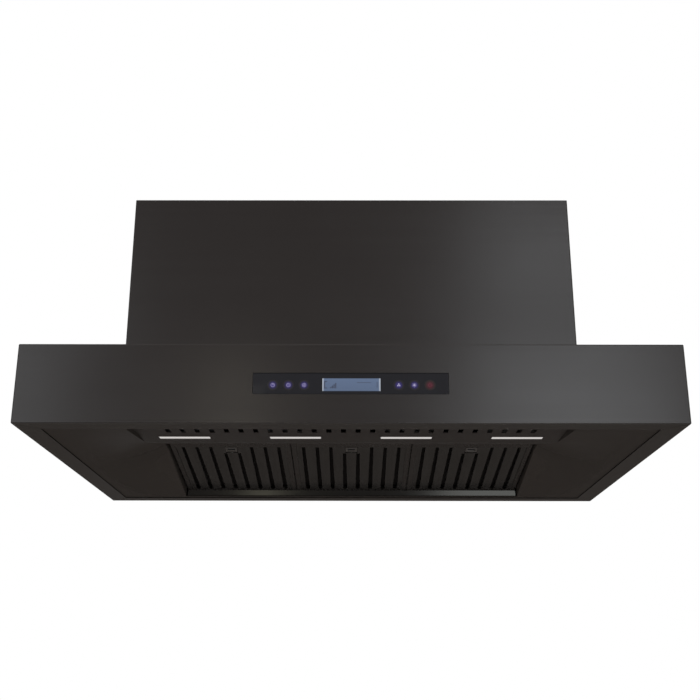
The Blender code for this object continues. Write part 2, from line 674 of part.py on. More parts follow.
def make_wheel(side, sign):
    """Forward-curved wheel: a back plate with a hub, a rim ring and the blades between them."""
    back, front = sign * 0.0930, sign * 0.1610
    centre = (0, BLOWER_Y, BLOWER_Z)
    plate = [(WHEEL_RADIUS, 0.0), (WHEEL_RADIUS, 0.0015), (0.0160, 0.0015), (0.0120, 0.0160),
             (0.00432, 0.0160), (0.00432, 0.0)]
    wheel = turned(f"blower_wheel_{side}", plate[::-1], (back, *centre[1:]), (sign, 0, 0), 32, "galvanised")
    ring = [(WHEEL_RADIUS, -0.004), (WHEEL_RADIUS, 0.0), (WHEEL_BORE, 0.0), (WHEEL_BORE, -0.004)]
    rim = turned(f"wheel_rim_{side}", ring[::-1], (front, *centre[1:]), (sign, 0, 0), 32)
    bm = bmesh.new()
    mean = (WHEEL_RADIUS + WHEEL_BORE) / 2
    low_x, high_x = sorted((back + sign * 0.0008, front - sign * 0.002))
    for blade in range(WHEEL_BLADES):
        verts = add_cube(bm, (low_x, -0.0056, -0.0006), (high_x, 0.0056, 0.0006))
        lean = Matrix.Rotation(math.radians(25), 4, "X")
        spin = Matrix.Rotation(2 * math.pi * blade / WHEEL_BLADES, 4, "X")
        place = Matrix.Translation(centre) @ spin @ Matrix.Translation((0, mean, 0)) @ lean
        bmesh.ops.transform(bm, matrix=place, verts=verts)
    blades = add(f"wheel_blades_{side}", mesh_from("blades", bm))
    join(wheel, rim, blades)


def make_motor():
    """Central motor whose shaft drives a wheel on each side."""
    axis_point = (0, BLOWER_Y, BLOWER_Z)
    half, radius = 0.0560, 0.0480
    shell = [(0.0045, -half), (0.0140, -half), (0.0140, -half + 0.006), (0.0380, -half + 0.010),
             (radius, -half + 0.018), (radius, half - 0.018), (0.0380, half - 0.010),
             (0.0140, half - 0.006), (0.0140, half), (0.0045, half)]
    turned("motor", shell[::-1], axis_point, (1, 0, 0), 24, "motor_paint")
    rod("motor_shaft", (-0.1080, BLOWER_Y, BLOWER_Z), (0.1080, BLOWER_Y, BLOWER_Z), 0.0040, 16,
        "bright_steel")
    strap_in, strap_out, strap_half = radius + GAP, radius + 0.0025, 0.020
    strap = [(strap_out, -strap_half), (strap_out, strap_half), (strap_in, strap_half),
             (strap_in, -strap_half)]
    bracket = turned("motor_bracket", strap[::-1], axis_point, (1, 0, 0), 32, "galvanised")
    top = BLOWER_BOX_TOP - SHEET - GAP
    hangers = []
    for index, sign in enumerate((-1, 1)):
        web = sorted((BLOWER_Y + sign * 0.0490, BLOWER_Y + sign * 0.0520))
        hangers.append(block(f"motor_hanger_{index}", (-strap_half, web[0], BLOWER_Z - 0.004),
                             (strap_half, web[1], top)))
    hangers.append(block("motor_hanger_foot", (-strap_half, BLOWER_Y - 0.0520, top - 0.002),
                         (strap_half, BLOWER_Y + 0.0520, top)))
    join(bracket, *hangers)


def make_blower_box():
    half_w, half_d = BLOWER_BOX_HALF
    bottom = CANOPY_HEIGHT + GAP
    mouth_low = BLOWER_Y + SCROLL_MOUTH[0] + 0.002
    mouth_high = BLOWER_Y + SCROLL_MOUTH[1] - 0.002
    foot = ((-0.272, -0.110), (0.272, 0.110))
    box = sheet_box("blower_box", (-half_w, -half_d, bottom), (half_w, half_d, BLOWER_BOX_TOP),
                    foot, None, "galvanised")
    thicken(box, SHEET)
    outlets = [((sign * SCROLL_INNER_X + sign * 0.002 if sign > 0 else -SCROLL_OUTER_X + 0.002, mouth_low,
                 BLOWER_BOX_TOP - 0.01),
                (SCROLL_OUTER_X - 0.002 if sign > 0 else -SCROLL_INNER_X - 0.002, mouth_high,
                 BLOWER_BOX_TOP + 0.01)) for sign in (-1, 1)]
    cut(box, blocks("blower_outlets", outlets))


def make_outlet():
    """Transition from the two blower mouths to the round collar, which holds the damper."""
    sides = 32
    low = BLOWER_BOX_TOP + GAP
    high = COLLAR_FOOT_Z
    half_x = SCROLL_OUTER_X + 0.004
    y_low, y_high = BLOWER_Y + SCROLL_MOUTH[0] - 0.004, BLOWER_Y + SCROLL_MOUTH[1] + 0.004
    centre_y = (y_low + y_high) / 2
    half_y = (y_high - y_low) / 2
    bm = bmesh.new()
    rings = []
    for radius, level in ((None, low), (None, low + 0.006), (COLLAR_RADIUS, high - 0.008),
                          (COLLAR_RADIUS, high)):
        ring = []
        for side in range(sides):
            angle = 2 * math.pi * (side + 0.5) / sides
            if radius is None:
                reach = max(abs(math.cos(angle)), abs(math.sin(angle)))
                point = (half_x * math.cos(angle) / reach, centre_y + half_y * math.sin(angle) / reach, level)
            else:
                point = (radius * math.cos(angle), radius * math.sin(angle), level)
            ring.append(bm.verts.new(point))
        rings.append(ring)
    for lower, upper in zip(rings, rings[1:]):
        for side in range(sides):
            following = (side + 1) % sides
            bm.faces.new((lower[side], lower[following], upper[following], upper[side]))
    mesh = bpy.data.meshes.new("outlet_transition")
    bm.to_mesh(mesh)
    bm.free()
    thicken(add("outlet_transition", mesh, "galvanised"), THIN_SHEET)

    outer, wall = COLLAR_RADIUS, THIN_SHEET
    base = COLLAR_FOOT_Z + GAP
    profile = [(outer, base), (outer, COLLAR_TOP_Z - wall), (outer + 0.004, COLLAR_TOP_Z - wall),
               (outer + 0.004, COLLAR_TOP_Z), (outer - wall, COLLAR_TOP_Z),
               (outer - wall, DAMPER_Z - 0.0020), (outer - 0.005, DAMPER_Z - 0.0020),
               (outer - 0.005, DAMPER_Z - 0.0035), (outer - wall, DAMPER_Z - 0.0035), (outer - wall, base)]
    collar = turned("duct_collar", profile[::-1], (0, 0, 0), (0, 0, 1), 36, "galvanised")
    pin_way = rod("pin_way", (-outer - 0.01, 0, DAMPER_Z), (outer + 0.01, 0, DAMPER_Z), 0.0018, 12)
    cut(collar, pin_way)
    rod("damper_pin", (-outer - 0.002, 0, DAMPER_Z), (outer + 0.002, 0, DAMPER_Z), 0.0015, 12, "bright_steel")
    for side, sign in (("front", -1), ("rear", 1)):
        make_flap(side, sign)


def make_flap(side, sign):
    """Half-round damper flap with its knuckle round the pin; the two knuckles share the pin's length."""
    radius = COLLAR_RADIUS - 0.0027
    flap = rod(f"damper_flap_{side}", (0, 0, DAMPER_Z - 0.0006), (0, 0, DAMPER_Z + 0.0006), radius, 48,
               "galvanised")
    clear = 0.0036
    halves = [((-0.1, -0.1, DAMPER_Z - 0.01), (0.1, clear, DAMPER_Z + 0.01)) if sign > 0 else
              ((-0.1, -clear, DAMPER_Z - 0.01), (0.1, 0.1, DAMPER_Z + 0.01))]
    cut(flap, blocks(f"flap_half_{side}", halves))
    knuckle = rod(f"flap_knuckle_{side}", (sign * 0.004, 0, DAMPER_Z), (sign * 0.060, 0, DAMPER_Z),
                  0.0032, 16)
    tab_y = sorted((sign * 0.0010, sign * 0.0060))
    tab_x = sorted((sign * 0.004, sign * 0.060))
    tab = block(f"flap_tab_{side}", (tab_x[0], tab_y[0], DAMPER_Z - 0.0006),
                (tab_x[1], tab_y[1], DAMPER_Z + 0.0006))
    join(flap, knuckle, tab)
    cut(flap, rod(f"flap_bore_{side}", (-0.1, 0, DAMPER_Z), (0.1, 0, DAMPER_Z), 0.0018, 12))


# ---------------------------------------------------------------- electrics
def make_electrics():
    top = BLOWER_BOX_TOP + GAP
    low, high = (-0.285, -0.060, top), (-0.195, 0.060, top + 0.040)
    box = block("junction_box", low, high, "galvanised")
    cut(box, block("junction_hollow", (low[0] + SHEET, low[1] + SHEET, low[2] + SHEET),
                   (high[0] - SHEET, high[1] - SHEET, high[2] + 0.01)))
    gland_x, gland_z = -0.240, top + 0.024
    cut(box, rod("gland_way", (gland_x, 0.05, gland_z), (gland_x, 0.07, gland_z), 0.0085))
    block("junction_cover", (low[0] - 0.001, low[1] - 0.001, high[2] + GAP),
          (high[0] + 0.001, high[1] + 0.001, high[2] + GAP + SHEET), "galvanised")
    gland = [(0.0110, 0.0), (0.0110, 0.005), (0.0075, 0.016), (0.0045, 0.016), (0.0045, -0.008),
             (0.0080, -0.008), (0.0080, 0.0)]
    turned("cable_gland", gland[::-1], (gland_x, 0.0603, gland_z), (0, 1, 0), 20, "black_plastic")
    rod("motor_capacitor", (-0.255, BLOWER_Y, 0.1285), (-0.205, BLOWER_Y, 0.1285), 0.0150, 20,
        "white_plastic")
    driver_z = PAN_LEVEL + SHEET + GAP
    block("led_driver", (0.424, -0.240, driver_z), (0.452, -0.120, driver_z + 0.045), "white_plastic",
          bevel=0.002)


def smooth_route(route, steps):
    """Points on a Catmull-Rom curve through the route's own points."""
    knots = [Vector(point) for point in route]
    ends = [2 * knots[0] - knots[1]] + knots + [2 * knots[-1] - knots[-2]]
    points = []
    for before, start, end, after in zip(ends, ends[1:], ends[2:], ends[3:]):
        for step in range(steps):
            t = step / steps
            square = (2 * before - 5 * start + 4 * end - after) * t * t
            cube = (3 * start - before - 3 * end + after) * t * t * t
            points.append(0.5 * (2 * start + (end - before) * t + square + cube))
    points.append(knots[-1])
    return points


def make_wiring():
    """Leads that stay inside the hood: lights to their driver, touch board to the blower box."""
    lamp_route = [(-0.2445, -0.170, 0.0325), (-0.160, -0.172, 0.0335), (-0.050, -0.168, 0.0325),
                  (0.080, -0.172, 0.0335), (0.200, -0.168, 0.0330), (0.262, -0.170, 0.0440),
                  (0.296, -0.170, 0.0640), (0.330, -0.172, 0.0670), (0.390, -0.176, 0.0650),
                  (0.428, -0.180, 0.0600), (0.438, -0.180, 0.0488)]
    tube("lamp_lead", smooth_route(lamp_route, 3), 0.0018, "cable")
    control_route = [(0.100, -0.2970, 0.0561), (0.100, -0.2880, 0.0563), (0.100, -0.2810, 0.0605),
                     (0.100, -0.2680, 0.0690), (0.104, -0.2200, 0.0800), (0.120, -0.1500, 0.0900),
                     (0.200, -0.0900, 0.0950), (0.240, -0.0600, 0.1050), (0.246, -0.0500, 0.1400)]
    tube("control_lead", smooth_route(control_route, 3), 0.0025, "cable")


make_canopy()
make_underside_pan()
make_light_panel()
make_lamps()
make_filter_rail()
make_grease_gutter()
for filter_number, filter_x in enumerate(filter_centres(), 1):
    make_filter(filter_number, filter_x)
make_controls()
make_duct_cover()
make_hanging_frame()
make_blower_box()
for scroll_side, scroll_sign in (("left", -1), ("right", 1)):
    make_scroll(scroll_side, scroll_sign)
    make_wheel(scroll_side, scroll_sign)
make_motor()
make_outlet()
make_electrics()
make_wiring()
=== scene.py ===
"""Looks of the island range hood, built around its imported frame. Metres, +Z up, front at -Y."""
import json
import math

import bmesh
import bpy
from mathutils import Matrix, Vector

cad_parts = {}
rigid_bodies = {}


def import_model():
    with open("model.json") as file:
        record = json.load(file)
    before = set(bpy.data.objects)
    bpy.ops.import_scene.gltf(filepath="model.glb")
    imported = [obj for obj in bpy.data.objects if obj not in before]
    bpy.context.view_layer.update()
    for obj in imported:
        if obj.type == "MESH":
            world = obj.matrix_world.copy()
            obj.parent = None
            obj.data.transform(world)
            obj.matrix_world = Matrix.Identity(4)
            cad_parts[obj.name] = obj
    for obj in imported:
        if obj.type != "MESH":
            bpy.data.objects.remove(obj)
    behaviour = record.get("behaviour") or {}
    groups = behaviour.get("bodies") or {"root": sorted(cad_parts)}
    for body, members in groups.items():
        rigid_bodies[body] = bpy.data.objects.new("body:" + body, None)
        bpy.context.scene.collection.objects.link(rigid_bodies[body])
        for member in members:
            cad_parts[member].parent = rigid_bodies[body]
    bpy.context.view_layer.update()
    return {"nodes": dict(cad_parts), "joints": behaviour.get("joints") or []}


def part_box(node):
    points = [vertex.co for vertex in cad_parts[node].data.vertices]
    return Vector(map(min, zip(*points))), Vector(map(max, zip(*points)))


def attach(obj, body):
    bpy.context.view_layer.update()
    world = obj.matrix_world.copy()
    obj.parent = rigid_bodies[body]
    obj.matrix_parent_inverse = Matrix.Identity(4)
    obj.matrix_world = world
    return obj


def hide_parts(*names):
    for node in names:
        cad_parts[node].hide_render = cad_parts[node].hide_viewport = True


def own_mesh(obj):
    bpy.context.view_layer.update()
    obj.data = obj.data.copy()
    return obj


for leftover in list(bpy.data.objects):
    bpy.data.objects.remove(leftover, do_unlink=True)

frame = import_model()
NODES = frame["nodes"]
JOINTS = {joint["name"]: joint for joint in frame["joints"]}

# ---------------------------------------------------------------- driving dimensions, in metres
SHEET = 0.0012             # canopy, pan and cover sheet
THIN_SHEET = 0.0008        # baffles
BEND = 0.0019              # outer radius of a press-brake bend
RIM_FLANGE = 0.032


# ---------------------------------------------------------------- camera, light and floor
def make_camera():
    data = bpy.data.cameras.new("camera")
    data.lens = 52.95
    data.sensor_width = 36.0
    data.clip_end = 60.0
    camera = bpy.data.objects.new("camera", data)
    bpy.context.scene.collection.objects.link(camera)
    place = (0.00434, -1.65433, -0.32947)
    pitch, yaw, roll = (math.radians(angle) for angle in (17.867, 0.228, 0.125))
    camera.matrix_world = (Matrix.Translation(place) @ Matrix.Rotation(yaw, 4, "Z")
                           @ Matrix.Rotation(math.pi / 2 + pitch, 4, "X") @ Matrix.Rotation(roll, 4, "Z"))
    bpy.context.scene.camera = camera


def softbox(name, place, target, size, radiance, colour=(1.0, 1.0, 1.0), mirrored_only=False):
    """A rectangular area light whose face shines at the given radiance, or shows only in reflections."""
    data = bpy.data.lights.new(name, "AREA")
    data.shape = "RECTANGLE"
    data.size, data.size_y = size
    data.energy = radiance * math.pi * size[0] * size[1]
    data.color = colour
    light = bpy.data.objects.new(name, data)
    bpy.context.scene.collection.objects.link(light)
    light.location = place
    light.rotation_euler = (Vector(target) - Vector(place)).to_track_quat("-Z", "Z").to_euler()
    light.visible_camera = False
    light.visible_diffuse = not mirrored_only


def make_world():
    """White to the camera; a soft grey room to everything that is lit by it."""
    world = bpy.data.worlds.new("studio")
    bpy.context.scene.world = world
    world.use_nodes = True
    tree = world.node_tree
    tree.nodes.clear()
    coords = node(tree, "ShaderNodeTexCoord")
    height = node(tree, "ShaderNodeSeparateXYZ", {0: coords.outputs["Generated"]}).outputs["Z"]
    level = remap(tree, height, -0.5, 0.9, 0.445, 0.635)
    room = node(tree, "ShaderNodeBackground", {"Color": (1.0, 0.925, 0.905, 1.0), "Strength": level})
    backdrop = node(tree, "ShaderNodeBackground", {"Color": (1.0, 1.0, 1.0, 1.0), "Strength": 1.0})
    ray = node(tree, "ShaderNodeLightPath")
    mixed = node(tree, "ShaderNodeMixShader", {0: ray.outputs["Is Camera Ray"], 1: room.outputs[0],
                                               2: backdrop.outputs[0]})
    node(tree, "ShaderNodeOutputWorld", {"Surface": mixed.outputs[0]})


def make_floor():
    reach, level = 14.0, -1.65
    bm = bmesh.new()
    bmesh.ops.create_grid(bm, x_segments=1, y_segments=1, size=reach)
    bmesh.ops.translate(bm, verts=bm.verts, vec=(0, 0, level))
    floor = link("studio_floor", mesh_from("studio_floor", bm))
    made, tree, shader = painted("floor", (0.80, 0.80, 0.79), 0.9)
    vary_colour(tree, shader, noise(tree, 3.0, 2.0), (0.79, 0.79, 0.78), (0.82, 0.82, 0.81))
    floor.data.materials.append(made)


def make_lights():
    """Boxes before the hood, then ones behind and beside it that show only in reflections."""
    cool = (0.88, 0.97, 1.03)
    front_y = -3.0
    for name, x, z, size, radiance, colour, mirrored_only in (
            ("right_box", 0.90, 0.47, (0.83, 1.26), 2.30, cool, False),
            ("right_upper_box", 0.94, 1.57, (0.78, 0.60), 1.95, cool, False),
            ("left_box", -1.72, 0.70, (1.04, 1.9), 1.38, cool, False),
            ("warm_strip", -0.485, 0.66, (0.07, 0.56), 4.6, (1.0, 0.99, 0.84), False),
            ("low_right", 0.765, -1.05, (0.64, 0.9), 5.2, (0.95, 1.0, 1.0), True),
            ("low_warm", -0.47, -1.05, (0.12, 0.9), 5.0, (1.0, 0.97, 0.78), True)):
        softbox(name, (x, front_y, z), (x, 0.0, z), size, radiance, colour, mirrored_only)
    softbox("rear_box", (-0.80, 3.2, 0.60), (-0.80, 0.0, 0.60), (0.9, 1.6), 1.9, cool, True)
    radiance = 2.1
    for side, name in ((1, "east"), (-1, "west")):
        softbox(f"{name}_box", (3.2 * side, -0.75 * side, -0.25), (0.0, -0.75 * side, -0.25), (0.9, 2.0),
                radiance, cool, True)
        for depth, corner in ((-2.9, "front"), (2.9, "rear")):
            softbox(f"{name}_{corner}_box", (3.1 * side, depth, -0.35), (0.0, 0.0, -0.35), (1.0, 2.2),
                    radiance, cool, True)
    softbox("overhead", (0.0, -0.3, 2.6), (0.0, 0.0, 0.0), (2.2, 2.2), 1.6)


# ---------------------------------------------------------------- material helpers
def node(tree, kind, inputs=None, **settings):
    """A shader node with its settings, and its inputs set to values or linked to sockets."""
    made = tree.nodes.new(kind)
    for key, value in settings.items():
        setattr(made, key, value)
    for key, value in (inputs or {}).items():
        if isinstance(value, bpy.types.NodeSocket):
            tree.links.new(value, made.inputs[key])
        else:
            made.inputs[key].default_value = value
    return made


def painted(name, colour, roughness, metallic=0.0, **sockets):
    """A Principled material; sockets are its other inputs, with spaces as underscores."""
    made = bpy.data.materials.new(name)
    made.use_nodes = True
    made.diffuse_color = (*colour, 1.0)
    tree = made.node_tree
    shader = tree.nodes["Principled BSDF"]
    shader.inputs["Base Color"].default_value = (*colour, 1.0)
    shader.inputs["Roughness"].default_value = roughness
    shader.inputs["Metallic"].default_value = metallic
    for key, value in sockets.items():
        shader.inputs[key.replace("_", " ")].default_value = value
    return made, tree, shader


def object_coords(tree):
    return node(tree, "ShaderNodeTexCoord").outputs["Object"]


def arithmetic(tree, operation, *values):
    """The result of a Math node; values are numbers or sockets."""
    return node(tree, "ShaderNodeMath", dict(enumerate(values)), operation=operation).outputs[0]


def remap(tree, value, start, end, low=0.0, high=1.0, kind="LINEAR"):
    """A value carried from the range start-end to the range low-high."""
    return node(tree, "ShaderNodeMapRange", {"Value": value, "From Min": start, "From Max": end,
                                             "To Min": low, "To Max": high},
                interpolation_type=kind).outputs["Result"]


def blend(tree, factor, first, second):
    """The first colour at factor 0, the second at 1."""
    return node(tree, "ShaderNodeMix", {0: factor, 6: (*first, 1.0), 7: (*second, 1.0)},
                data_type="RGBA").outputs[2]


def noise(tree, scale, detail, vector=None):
    return node(tree, "ShaderNodeTexNoise", {"Vector": vector or object_coords(tree), "Scale": scale,
                                             "Detail": detail}).outputs["Fac"]


def brushed_coords(tree, upright, level):
    """Object coordinates drawn out along the grain: one scale for walls, one for level faces."""
    coords = node(tree, "ShaderNodeTexCoord")
    lean = node(tree, "ShaderNodeSeparateXYZ", {0: coords.outputs["Normal"]}).outputs["Z"]
    is_level = arithmetic(tree, "GREATER_THAN", arithmetic(tree, "ABSOLUTE", lean), 0.7)
    scale = node(tree, "ShaderNodeMix", {0: is_level, 4: upright, 5: level}, data_type="VECTOR").outputs[1]
    return node(tree, "ShaderNodeVectorMath", {0: coords.outputs["Object"], 1: scale},
                operation="MULTIPLY").outputs[0]


def vary_colour(tree, shader, factor, dark, light):
    tree.links.new(blend(tree, factor, dark, light), shader.inputs["Base Color"])


def vary_roughness(tree, shader, factor, low, high):
    tree.links.new(remap(tree, factor, 0.3, 0.7, low, high), shader.inputs["Roughness"])


def add_bump(tree, shader, height, strength, distance):
    bump = node(tree, "ShaderNodeBump", {"Height": height, "Strength": strength, "Distance": distance})
    tree.links.new(bump.outputs["Normal"], shader.inputs["Normal"])


def emit(tree, shader, colour, strength):
    tree.links.new(colour, shader.inputs["Emission Color"])
    shader.inputs["Emission Strength"].default_value = strength


def brushed_steel(name, colour, roughness, grain, edge, bump=0.12, spread=0.10, metallic=1.0):
    """Brushed sheet: fine grain lines, broader bands of grain, and faint handling marks.

    Grain holds the coordinate scales on walls and on level faces; edge dims the glancing reflections.
    """
    made, tree, shader = painted(name, colour, roughness, metallic, Specular_Tint=(edge, edge, edge, 1.0),
                                 Specular_IOR_Level=0.0)
    coords = brushed_coords(tree, *grain)
    fine = noise(tree, 1.0, 2.0, coords)
    bands = noise(tree, 0.11, 2.0, coords)
    marks = noise(tree, 9.0, 3.0)
    relief = arithmetic(tree, "MULTIPLY_ADD", fine, bands, 0.25)
    worn = arithmetic(tree, "MULTIPLY", arithmetic(tree, "ADD", bands, marks), 0.5)
    vary_colour(tree, shader, worn, [c * (1 - spread) for c in colour], [c * (1 + spread) for c in colour])
    vary_roughness(tree, shader, worn, roughness * 0.90, roughness * 1.12)
    add_bump(tree, shader, relief, bump, 0.0002)
    return made


def galvanised_steel(name, colour, roughness):
    """Zinc-coated sheet with its spangle of flat crystals."""
    made, tree, shader = painted(name, colour, roughness, 1.0)
    coords = object_coords(tree)
    warped = node(tree, "ShaderNodeTexNoise", {"Vector": coords, "Scale": 60.0, "Detail": 2.0})
    shifted = node(tree, "ShaderNodeVectorMath", {0: warped.outputs["Color"], 1: (0.012, 0.012, 0.012),
                                                  2: coords}, operation="MULTIPLY_ADD").outputs[0]
    crystals = node(tree, "ShaderNodeTexVoronoi", {"Vector": shifted, "Scale": 90.0})
    shade = node(tree, "ShaderNodeSeparateColor", {0: crystals.outputs["Color"]}).outputs[0]
    vary_colour(tree, shader, shade, [c * 0.78 for c in colour], [c * 1.12 for c in colour])
    spread = remap(tree, shade, 0.0, 1.0, roughness * 0.75, roughness * 1.25)
    tree.links.new(spread, shader.inputs["Roughness"])
    add_bump(tree, shader, noise(tree, 700.0, 2.0), 0.10, 0.0001)
    return made


def moulded_plastic(name, colour, roughness, texture=1400.0):
    """Injection-moulded plastic with a fine spark-eroded surface."""
    made, tree, shader = painted(name, colour, roughness)
    marks = noise(tree, 25.0, 3.0)
    vary_colour(tree, shader, marks, [c * 0.88 for c in colour], [c * 1.10 for c in colour])
    vary_roughness(tree, shader, marks, roughness * 0.9, roughness * 1.15)
    add_bump(tree, shader, noise(tree, texture, 1.0), 0.25, 0.0001)
    return made


def black_glass():
    """Tempered touch glass: near black, with faint fingermarks."""
    made, tree, shader = painted("black_glass", (0.008, 0.009, 0.013), 0.06, Specular_IOR_Level=0.34)
    smears = noise(tree, 45.0, 4.0)
    vary_roughness(tree, shader, smears, 0.04, 0.10)
    vary_colour(tree, shader, smears, (0.0070, 0.0085, 0.0125), (0.0090, 0.0105, 0.0155))
    return made


def lit_lcd(half_x, centre_z, half_z):
    """Backlit display: blue-grey, brighter at its two ends where the backlight is fed in, and upwards."""
    made, tree, shader = painted("lcd_screen", (0.015, 0.018, 0.024), 0.25)
    parts = node(tree, "ShaderNodeSeparateXYZ", {0: object_coords(tree)})
    across = arithmetic(tree, "DIVIDE", arithmetic(tree, "ABSOLUTE", parts.outputs["X"]), half_x)
    up = arithmetic(tree, "DIVIDE", arithmetic(tree, "SUBTRACT", parts.outputs["Z"], centre_z), half_z)
    ends = remap(tree, across, 0.93, 1.0, kind="SMOOTHSTEP")
    glow = blend(tree, ends, (0.079, 0.120, 0.208), (0.46, 0.50, 0.57))
    shaded = node(tree, "ShaderNodeVectorMath", {0: glow}, operation="SCALE")
    tree.links.new(remap(tree, up, -1.0, 1.0, 0.92, 1.10), shaded.inputs["Scale"])
    emit(tree, shader, shaded.outputs[0], 0.95)
    return made


def glowing(name, colour, strength, fade=0.15):
    """Something lit from behind; its light is a little uneven."""
    made, tree, shader = painted(name, [0.2 * c for c in colour], 0.4)
    uneven = blend(tree, noise(tree, 500.0, 1.0), [c * (1 - fade) for c in colour], colour)
    emit(tree, shader, uneven, strength)
    return made


def halo(name, colour, radius):
    """Light that spreads under the glass round a lit key, fading to black at the radius."""
    made, tree, shader = painted(name, (0.008, 0.008, 0.009), 0.08)
    reach = node(tree, "ShaderNodeVectorMath", {0: object_coords(tree)}, operation="LENGTH").outputs["Value"]
    fall = remap(tree, reach, 0.0, radius, 1.0, 0.0, kind="SMOOTHERSTEP")
    emit(tree, shader, blend(tree, fall, (0.0, 0.0, 0.0), colour), 1.0)
    return made


def circuit_board():
    """Green solder mask with paler copper tracks under it."""
    made, tree, shader = painted("circuit", (0.02, 0.12, 0.05), 0.40)
    tracks = node(tree, "ShaderNodeTexBrick", {"Vector": object_coords(tree), "Scale": 120.0,
                                               "Mortar Size": 0.06,
                                               "Color1": (0.012, 0.085, 0.035, 1.0),
                                               "Color2": (0.018, 0.100, 0.042, 1.0),
                                               "Mortar": (0.050, 0.210, 0.085, 1.0)})
    tree.links.new(tracks.outputs["Color"], shader.inputs["Base Color"])
    add_bump(tree, shader, tracks.outputs["Fac"], 0.3, 0.0001)
    return made


# ---------------------------------------------------------------- mesh helpers
def link(name, mesh):
    made = bpy.data.objects.new(name, mesh)
    bpy.context.scene.collection.objects.link(made)
    return made


def mesh_from(name, bm, recalculate=True):
    if recalculate:
        bmesh.ops.recalc_face_normals(bm, faces=bm.faces)
    mesh = bpy.data.meshes.new(name)
    bm.to_mesh(mesh)
    bm.free()
    return mesh


def hood_piece(name, bm, material, slot, *replaced, at=(0, 0, 0)):
    """A piece that rides on the hood, from a closed bmesh."""
    made = link(name, mesh_from(name, bm))
    made.location = at
    finish_piece(made, material, "hood", slot, *replaced)
    return made


def coat(made, material):
    """One material all over, and smooth shading between sharp edges."""
    made.data.materials.clear()
    made.data.materials.append(material)
    made.data.shade_smooth()
    made.data.set_sharp_from_angle(angle=math.radians(32))


def finish_piece(made, material, body, slot, *replaced):
    """Give a piece its finish, smooth shading and the body it rides on, and hide the nodes it stands for."""
    coat(made, material)
    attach(made, body)
    if replaced:
        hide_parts(*replaced)


def apply_modifiers(made):
    """Make the evaluated shape the object's own mesh."""
    bpy.context.view_layer.update()
    mesh = bpy.data.meshes.new_from_object(made.evaluated_get(bpy.context.evaluated_depsgraph_get()))
    made.modifiers.clear()
    made.data = mesh


def sheet_from(name, bm, thickness):
    """An object from an open bmesh, thickened inwards into sheet."""
    made = link(name, mesh_from(name, bm, recalculate=False))
    solid = made.modifiers.new("sheet", "SOLIDIFY")
    solid.thickness = thickness
    solid.offset = -1.0
    solid.use_even_offset = True
    apply_modifiers(made)
    return made


def take_mesh(made):
    """The mesh of an object that was only needed to shape it."""
    mesh = made.data
    bpy.data.objects.remove(made, do_unlink=True)
    return mesh


def weigh_normals(made):
    made.modifiers.new("flats", "WEIGHTED_NORMAL").keep_sharp = True


def cut(made, bm):
    """Take a closed bmesh out of an object."""
    cutter = link("cutter", mesh_from("cutter", bm))
    step = made.modifiers.new("cut", "BOOLEAN")
    step.operation = "DIFFERENCE"
    step.solver = "EXACT"
    step.object = cutter
    apply_modifiers(made)
    bpy.data.objects.remove(cutter, do_unlink=True)


def add_box(bm, low, high):
    low, high = Vector(low), Vector(high)
    place = Matrix.Translation((low + high) / 2) @ Matrix.Diagonal((*(high - low), 1.0))
    return bmesh.ops.create_cube(bm, size=1.0, matrix=place)["verts"]


def cut_boxes(made, *boxes):
    """Take boxes, each a low and a high corner, out of an object."""
    bm = bmesh.new()
    for low, high in boxes:
        add_box(bm, low, high)
    cut(made, bm)


def rounded_box(bm, low, high, radius, segments=2):
    """A box with rounded edges, added to a bmesh."""
    verts = add_box(bm, low, high)
    edges = list({edge for vert in verts for edge in vert.link_edges})
    bmesh.ops.bevel(bm, geom=edges, offset=radius, segments=segments, profile=0.5, affect="EDGES")


def new_verts(result):
    """The vertices among what a bmesh operator made."""
    return [item for item in result["geom"] if isinstance(item, bmesh.types.BMVert)]


def join_rings(bm, rings):
    """Quads between each closed ring of vertices and the next."""
    for ring, following in zip(rings, rings[1:]):
        for index in range(len(ring)):
            after = (index + 1) % len(ring)
            bm.faces.new((ring[index], ring[after], following[after], following[index]))


def open_face(bm, face, corners):
    """Inset a flat face, move the inset to the four corners given, and take the middle out."""
    bmesh.ops.inset_region(bm, faces=[face], thickness=0.004, use_even_offset=True, use_boundary=True)
    for vert in face.verts:
        vert.co = min(corners, key=lambda corner: (Vector(corner) - vert.co).length)
    bmesh.ops.delete(bm, geom=[face], context="FACES_ONLY")


def rectangle(axis, level, low, high):
    """Corners of a rectangle square to an axis (0, 1 or 2), from its two other coordinates."""
    corners = []
    for first in (low[0], high[0]):
        for second in (low[1], high[1]):
            point = [first, second]
            point.insert(axis, level)
            corners.append(tuple(point))
    return corners


def bend_edges(bm, radius):
    """Round every fold of an open sheet."""
    folds = [edge for edge in bm.edges if len(edge.link_faces) == 2
             and edge.calc_face_angle() > math.radians(30)]
    bmesh.ops.bevel(bm, geom=folds, offset=radius, segments=3, profile=0.5, affect="EDGES",
                    clamp_overlap=True)


def face_towards(bm, direction):
    return max(bm.faces, key=lambda face: face.normal.dot(Vector(direction)))


# ---------------------------------------------------------------- sheet-metal skins
def folded_box(name, low, high, openings, open_top=False):
    """A sheet box with bent edges; each opening is the direction of its face and its four corners."""
    bm = bmesh.new()
    add_box(bm, low, high)
    bm.normal_update()
    for direction, corners in openings:
        open_face(bm, face_towards(bm, direction), corners)
        bm.normal_update()
    if open_top:
        bmesh.ops.delete(bm, geom=[face_towards(bm, (0, 0, 1))], context="FACES_ONLY")
        bm.normal_update()
    bend_edges(bm, BEND)
    return sheet_from(name, bm, SHEET)


